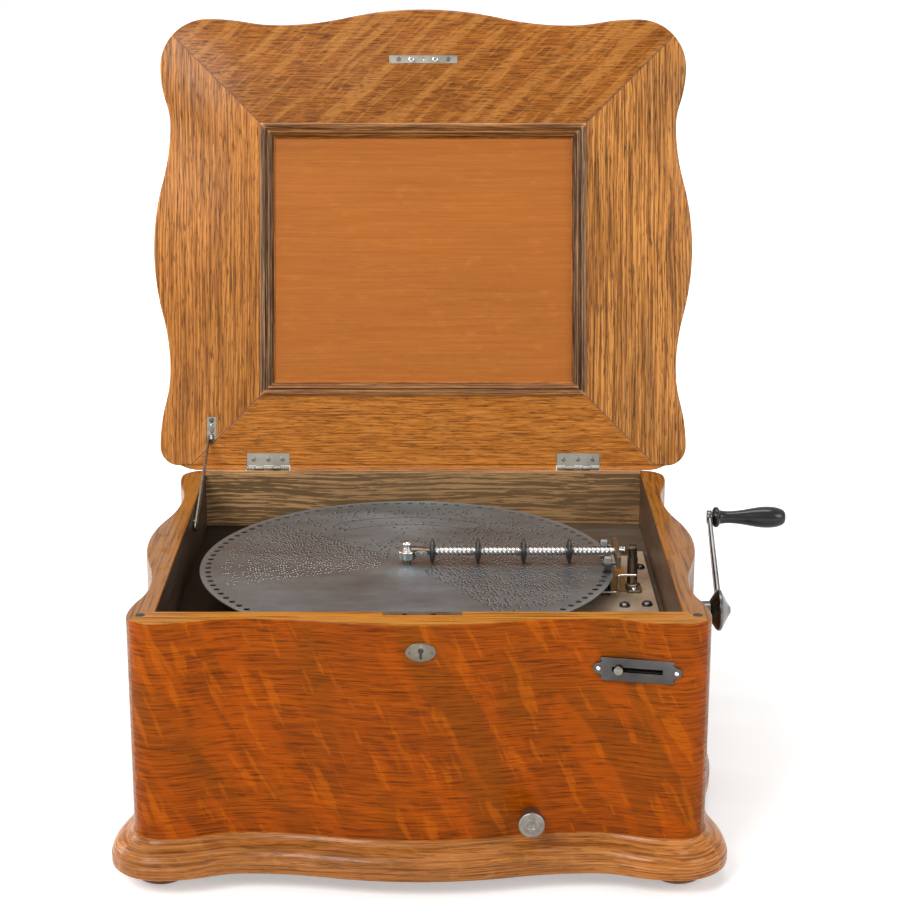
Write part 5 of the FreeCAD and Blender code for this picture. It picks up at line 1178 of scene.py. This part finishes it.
starts = [x + 3.4 for x in ROLLER_XS]
ends = [x - 3.4 for x in ROLLER_XS[1:]] + [184.0]
for start, end in zip(starts, ends):
    steps = int((end - start) / 0.7)
    rows = [twist_section(start + (end - start) * k / steps) for k in range(steps + 1)]
    twisted.loft(rows)
for x in ROLLER_XS:
    twisted.rod(2.95, (x - 3.4, 0, ARM_Z), (x + 3.4, 0, ARM_Z), 28)
bar_steel = metal("bar_steel", (0.34, 0.332, 0.315), (0.53, 0.518, 0.495), rough=0.30, metallic=0.85,
                  dirt=(0.20, 0.18, 0.15), dirt_amount=0.3)
piece("twist_bar", twisted, bar_steel, "arm", ["arm_bar"], sharp=50)
carrier = Form()
carrier.box(184, 188, -30, 30, EDGE_ROLLER_Z - 4, ARM_Z + 4)
carrier.box(188, POST_X, -2.95, 2.95, ARM_Z - 3.6, ARM_Z + 3.6)
carrier.rod(3.9, (POST_X, -2.95, ARM_Z), (POST_X, 2.95, ARM_Z), 32)
for y in (-EDGE_ROLLER_Y, EDGE_ROLLER_Y):
    carrier.rod(1.95, (SPROCKET_X - 4.2, y, EDGE_ROLLER_Z), (184, y, EDGE_ROLLER_Z), 24)
    carrier.lathe([(0, 0), (0, 2.6), (-0.6, 2.6), (-1.2, 1.6), (-1.3, 0)],
                  (SPROCKET_X - 3.6, y, EDGE_ROLLER_Z), X_AXIS, 24)
piece("edge_carrier", carrier, dull_nickel, "arm", bevel=0.5)
spring = Form()
path = []
for k in range(60):
    t = k / 59
    path.append((188.6 + 4.8 * t, 3.9 * math.cos(7 * math.pi * t),
                 ARM_Z + 0.4 + 4.2 * math.sin(7 * math.pi * t)))
spring.tube(path, 0.45, 8)
piece("arm_spring", spring, bright_nickel, "arm")

rollers = Form()
roller_hubs = Form()
tread = [(-1.7, ROLLER_RADIUS - 2.6), (-1.1, ROLLER_RADIUS - 0.8), (-0.6, ROLLER_RADIUS - 0.15),
         (0, ROLLER_RADIUS)]
for x in ROLLER_XS:
    rollers.lathe(mirrored([(-2.6, 3.05), (-2.9, 5.2), (-2.6, 6.6)] + tread), (x, 0, ARM_Z), X_AXIS, 56,
                  closed=True)
    roller_hubs.lathe([(-2.9, 3.05), (-2.9, 4.6), (-2.5, 5.0), (2.5, 5.0), (2.9, 4.6), (2.9, 3.05)],
                      (x, 0, ARM_Z), X_AXIS, 40, closed=True)
piece("track_rollers", rollers, roller_steel, "rollers", ["arm_rollers"])
piece("track_roller_hubs", roller_hubs, roller_steel, "rollers")
EDGE_ROLLER = mirrored([(-3.5, 2.05), (-3.5, 3.6), (-2.6, 4.2), (-2.6, 6.6), (-3.5, 7.2), (-3.4, 7.9),
                        (-2.8, 8.35), (0, 8.5)])
for name, y, body in (("edge_roller_front", -EDGE_ROLLER_Y, "roller_front"),
                      ("edge_roller_rear", EDGE_ROLLER_Y, "roller_rear")):
    roller = Form()
    roller.lathe(EDGE_ROLLER, (SPROCKET_X, y, EDGE_ROLLER_Z), X_AXIS, 56, closed=True)
    piece(name + "_wheel", roller, bolt_steel, body, [name])

# Post with its forked top, foot plate and screw
post = Form()
for sign in (-1, 1):
    cheek = []
    for k in range(15):
        a = math.acos(min(1.0, 3.15 / 5.0)) * (1 - 2 * k / 14)
        cheek.append((POST_X + 5.0 * math.sin(a), sign * 5.0 * math.cos(a)))
    rows = [[(x, y, z) for x, y in cheek] for z in (ARM_Z - 6, ARM_Z + 2)]
    for share, lift in ((0.93, 3.6), (0.76, 5.0), (0.62, 5.8)):
        rows.append([(POST_X + (x - POST_X) * share, sign * (3.15 + (abs(y) - 3.15) * share), ARM_Z + lift)
                     for x, y in cheek])
    post.loft(rows)
neck = ARM_Z - 6 - BED_TOP
post.lathe([(0, 0), (0, 5.0), (neck, 5.0), (neck, 0)], (POST_X, 0, BED_TOP), Z_AXIS, 48)
post.rod(2.5, (POST_X, -4.9, ARM_Z), (POST_X, 4.9, ARM_Z), 28)
piece("post_column", post, post_steel, "case", ["arm_post"])
foot = Form()
foot_points = []
for cx, cy, start_angle in ((POST_X + 5, 3, 0), (POST_X - 3, 3, 90), (POST_X - 3, -16, 180),
                            (POST_X + 5, -16, 270)):
    for k in range(7):
        a = math.radians(start_angle + 15 * k)
        foot_points.append((cx + 3 * math.cos(a), cy + 3 * math.sin(a), BED_TOP))
foot.prism(foot_points, (0, 0, 2.5))
foot.lathe([(2.5, 5.0), (2.5, 7.4), (3.2, 7.2), (3.9, 6.0), (4.2, 5.0)], (POST_X, 0, BED_TOP), Z_AXIS, 48)
piece("post_foot", foot, post_steel, "case", bevel=0.4)
foot_screw = Form()
foot_screw.screw((POST_X + 1, -13, BED_TOP + 2.5), Z_AXIS, 3.5, 1.9, 0.7)
piece("post_screw", foot_screw, bright_nickel, "case")

heads = Form()
for number, (x, y) in enumerate([(190.3, -53.4), (211.5, -50.7), (213.6, 53.5), (-33, 0), (120, -98),
                                 (120, 98)]):
    heads.screw((x, y, BED_TOP), Z_AXIS, 5.1, 3.9, 0.5 + number * 1.1)
piece("bed_bolts", heads, bolt_steel, "case", ["bed_screws"])

spindle = Form()
shoulder = DISC_UNDER - 0.1 - BED_TOP
top = ARM_Z + 2 - BED_TOP
spindle.lathe([(0, 0), (0, 13), (2.4, 13), (3, 12.4), (3.2, 8.6), (4.0, 8), (shoulder - 0.6, 8),
               (shoulder, 7.4), (shoulder, 3.5), (top - 2.2, 3.3), (top - 0.6, 2.6), (top, 1.2), (top, 0)],
              (DISC_X, 0, BED_TOP), Z_AXIS, 48)
piece("spindle", spindle, dull_nickel, "case", ["centre_spindle"])

# Start plate with cusped ends, its slider and the bent stop wire
half = [(0, 10.5), (29.5, 10.5), (31.5, 10.5), (31.8, 8.6), (30.8, 7.2), (31.6, 6.0), (33.4, 5.0),
        (35.6, 4.6), (37.2, 3.4),
        (38.0, 1.6), (38.0, 0)]
plate_points = half + [(x, -z) for x, z in reversed(half[:-1])]
plate_points += [(-x, z) for x, z in reversed(plate_points[1:-1])]
plate = start_prism(Form(), plate_points, 0, -3.0)
plate_slot = start_box(Form(), -21.5, 21.5, -2, 2, -6, 3)
piece("start_face", plate, dark_plate, "case", ["start_plate"], bevel=0.55, cutters=plate_slot)
outward = Vector((math.sin(START_TURN), -math.cos(START_TURN), 0))
rivets = Form()
for x in (-33.6, 33.6):
    rivets.lathe([(0, 0), (0, 2.1), (0.7, 1.9), (1.3, 1.2), (1.6, 0)], start_point(x, -2.95, 0), outward,
                 28)
piece("start_rivets", rivets, bright_nickel, "case")
# Painted shade: dark strips along the top and bottom of the slot through the front board
slot_shade = Form()
start_box(slot_shade, -22.4, 22.4, 2.05, 2.28, 0.3, 24)
start_box(slot_shade, -22.4, 22.4, -2.28, -2.05, 0.3, 24)
piece("start_slot_shade", slot_shade, dark_marks_and_hole_shade, "case")
slider = Form()
slider.lathe([(0.3, 0), (0.3, 3.7), (0.8, 4.2), (2.6, 4.2), (3.3, 3.8), (3.8, 2.6), (4.0, 0)],
             start_point(-16, -3.0, 0), outward, 40)
start_box(slider, -18, -14, -1.65, 1.65, -3.6, 36)
start_box(slider, -22, -10, -5, 5, 33, 36)
piece("start_button", slider, nickel, "slider", ["start_slider"], bevel=0.25)

wire_high = BED_TOP + 20
wire_low = BED_TOP + 3
wire_path = []
for k in range(8):
    wire_path.append((203 - 15 * k / 7, -24, wire_high))
for k in range(1, 7):
    a = math.radians(90 * k / 6)
    wire_path.append((188 - 2 * math.sin(a), -24, wire_high - 2 + 2 * math.cos(a)))
for k in range(1, 8):
    wire_path.append((186, -24, wire_high - 2 - (wire_high - wire_low - 4) * k / 8))
for k in range(0, 7):
    a = math.radians(90 * k / 6)
    wire_path.append((184 + 2 * math.cos(a), -24, wire_low + 2 - 2 * math.sin(a)))
wire_path.append((168, -24, wire_low))
wire = Form()
wire.tube(wire_path, 1.05, 18)
piece("stop_bend", wire, bright_nickel, "wire", ["stop_wire"])

# Crank with its flared boss and tapered arm, and the turned grip
crank = Form()
boss = [(-25.0, 6.1), (-25.0, 8.9), (-9.2, 8.9)]
boss += spline([(-9, 9.4), (-6.5, 13.5), (-3.2, 18.2), (-1.6, 19.7)], 4) + [(-0.4, 20.0), (1.2, 19.7)]
boss += spline([(2.4, 18.0), (5.0, 13.0), (8.0, 7.4), (9.8, 4.6)], 4) + [(10.8, 3.2), (11.0, 0)]
crank.lathe(boss, (CRANK_ARM_X, 0, CRANK_Z), X_AXIS, 64)
way = Vector((0, math.cos(CRANK_ANGLE), math.sin(CRANK_ANGLE)))
side_way = Vector((0, -math.sin(CRANK_ANGLE), math.cos(CRANK_ANGLE)))
crank_centre = Vector((CRANK_ARM_X, 0, CRANK_Z))
rows = []
for s, half_width, half_thick in ((8, 8.0, 2.5), (40, 7.3, 2.45), (80, 6.4, 2.3),
                                  (CRANK_LENGTH - 6, 5.9, 2.1)):
    rows.append(ring(crank_centre + way * s, side_way * half_width, X_AXIS * half_thick, 32, 0.5))
crank.loft(rows)
end = crank_centre + way * CRANK_LENGTH
crank.rod(6.9, end - X_AXIS * 2.4, end + X_AXIS * 2.4, 40, edge=0.8)
crank.rod(2.95, end, end + X_AXIS * 60, 28)
piece("crank_lever", crank, crank_iron, "crank", ["crank_arm"])
grip = Form()
profile = [(0, 3.1), (0, 6.9)] + spline([(0.2, 7.4), (1.6, 9.6), (3.4, 10.3), (5.2, 10.2), (6.8, 8.6)], 4)
profile += [(7.2, 7.6)] + spline([(8.2, 7.0), (13, 6.3), (20, 6.3), (30, 7.4), (40, 9.2), (49, 10.5),
                                  (57, 10.7), (64, 9.9), (69.5, 8.0), (71.8, 6.2)], 4)
profile += [(72.7, 4.6), (GRIP_LENGTH, 2.4), (GRIP_LENGTH, 0)]
grip.lathe(profile, (GRIP_X0, CRANK_END_Y, CRANK_END_Z), X_AXIS, 64)
piece("crank_handle", grip, black_grip, "grip", ["crank_grip"])
bush = Form()
bush.lathe([(-32, 6.05), (-32, 9), (0, 9), (0, 16.4), (0.5, 17), (1.8, 17), (2.4, 16.2), (2.5, 12),
            (2.9, 10.4), (3.2, 9.9), (3.2, 6.05)], (BULGE[0] + 0.1, 0, CRANK_Z), X_AXIS, 56, closed=True)
piece("bush_flange", bush, dull_nickel, "case", ["crank_bush"])

# Speed knob with a milled edge and a stepped face
knob = Form()
face_y = -(BULGE[1] - 6) - 22.0
knob_face = [(0.9, 0.0), (0.9, 1.5), (0.5, 2.0), (0.5, 3.4), (0.0, 3.9), (0.0, 7.0), (0.25, 7.3),
             (0.25, 9.6), (0.1, 10.0), (0.3, 10.9)]
knob_milling = [(1.0, 11.6, 0.2), (1.7, 12.0, 0.45), (5.0, 12.0, 0.45), (5.8, 11.5, 0.2)]
knob_shank = [(6.6, 10.4), (7.4, 9.6), (21.6, 8.4), (21.9, 8.0), (22, 3.95), (79, 3.95), (79.5, 3.0),
              (79.5, 0)]
sections = [(y, r, 0) for y, r in knob_face] + knob_milling + [(y, r, 0) for y, r in knob_shank]
rows = []
for along_y, radius, depth in sections:
    row = []
    for k in range(96):
        a = 2 * math.pi * k / 96
        r = max(radius - (depth if k % 2 else 0), 0.001)
        row.append((KNOB_X + r * math.cos(a), face_y + along_y, KNOB_Z + r * math.sin(a)))
    rows.append(row)
knob.grid(rows, closed_columns=True)
piece("speed_button", knob, knob_metal, "knob", ["speed_knob"], sharp=40)

# Materials of the frame's own nodes
NODE_MATERIALS = {
    "back_panel": back_oak, "bottom_board": under_oak, "lid_panel": panel_oak, "sound_board": pine,
    "drive_sprocket": post_steel, "crank_shaft": crank_iron,
    **dict.fromkeys(("bed_plate", "motor_plate_left", "motor_plate_right"), bed_iron),
    **dict.fromkeys(("front_comb", "rear_comb", "mainspring", "click", "motor_pillars"), comb_steel),
    **dict.fromkeys(("sprocket_bracket", "star_bridge", "star_wheels", "spring_barrel", "winding_wheel",
                     "relay_wheel", "governor_fly"), gear_brass),
}
for name, obj in nodes.items():
    obj.data.materials.clear()
    obj.data.materials.append(NODE_MATERIALS.get(name, nickel))
for name in ("bed_plate", "sprocket_bracket", "star_bridge", "back_panel", "motor_plate_left",
             "motor_plate_right"):
    soften(nodes[name], 0.5, 2)

# Camera, with the focal length from 2137.2 pixels over a picture 900 pixels wide
camera_data = bpy.data.cameras.new("camera")
camera_data.sensor_width = 36.0
camera_data.lens = 2137.2 / 900 * 36.0
camera = placed("camera", camera_data)
yaw, pitch, roll = math.radians(0.234), math.radians(16.210), math.radians(0.079)
forward = Vector((math.sin(yaw) * math.cos(pitch), math.cos(yaw) * math.cos(pitch), -math.sin(pitch)))
right = Vector((math.cos(yaw), -math.sin(yaw), 0))
up = right.cross(forward)
level_right = math.cos(roll) * right + math.sin(roll) * up
level_up = -math.sin(roll) * right + math.cos(roll) * up
rotation = Matrix((level_right, level_up, -forward)).transposed().to_4x4()
camera.matrix_world = Matrix.Translation(at(19.29, -1928.57, 892.83)) @ rotation
camera_data.clip_start = 0.05
camera_data.clip_end = 60.0
bpy.context.scene.camera = camera

# Pale floor that keeps the shadow, and a plain soft studio
floor = Form()
ticks = [-9000 + 1500 * k for k in range(13)]
floor.grid([[(x, y, -0.3) for x in ticks] for y in ticks])
floor_object = placed("studio_floor", clean_mesh("studio_floor", floor, 30))
floor_material, g = new_material("studio_floor")
tone = g.noise(g.coordinates(stretch=(3, 3, 3)), 2.0, 0.5)
g.link(g.ramp(tone, [(0.3, (0.78, 0.78, 0.775)), (0.7, (0.81, 0.81, 0.805))]), "Base Color")
g.fix({"Roughness": 0.9, "Emission Color": (1, 1, 1, 1)})
place = g.add("ShaderNodeTexCoord").outputs["Object"]
distance = g.add("ShaderNodeVectorMath", {0: place}, operation="LENGTH").outputs["Value"]
# Painted shade round the model: the floor's glow is weaker near it, also in what the case reflects
g.link(g.times(g.seen_rays(), g.spread(distance, 0.35, 1.2, 0.40, 1.0)), "Emission Strength")
floor_object.data.materials.append(floor_material)

world = bpy.data.worlds.new("studio")
bpy.context.scene.world = world
world.use_nodes = True
world.node_tree.nodes.clear()
g = Graph(world.node_tree)
ambient = g.add("ShaderNodeBackground", {"Color": (1.0, 0.995, 0.985, 1), "Strength": 0.30}).outputs[0]
bright = g.add("ShaderNodeBackground", {"Color": (1, 1, 1, 1), "Strength": 1.0}).outputs[0]
chosen = g.add("ShaderNodeMixShader", {0: g.seen_rays(), 1: ambient, 2: bright}).outputs[0]
g.add("ShaderNodeOutputWorld", {0: chosen})


def lamp(name, place, target, size, power):
    data = bpy.data.lights.new(name, "AREA")
    data.shape = "RECTANGLE"
    data.size, data.size_y = size
    data.energy = power
    turned = (Vector(target) - Vector(place)).to_track_quat("-Z", "Y").to_matrix().to_4x4()
    placed(name, data).matrix_world = Matrix.Translation(Vector(place)) @ turned


lamp("key", (-1.5, -2.2, 2.5), (0, 0, 0.25), (1.6, 1.2), 74)
lamp("fill", (2.1, -1.7, 1.5), (0, 0, 0.25), (1.4, 1.4), 27)
lamp("top", (0.1, 0.3, 2.8), (0, 0, 0.2), (1.6, 1.0), 26)
lamp("left_edge", (-1.9, 0.5, 0.9), (-0.2, -0.1, 0.15), (0.9, 1.1), 16)

bpy.context.scene.view_settings.view_transform = "Standard"
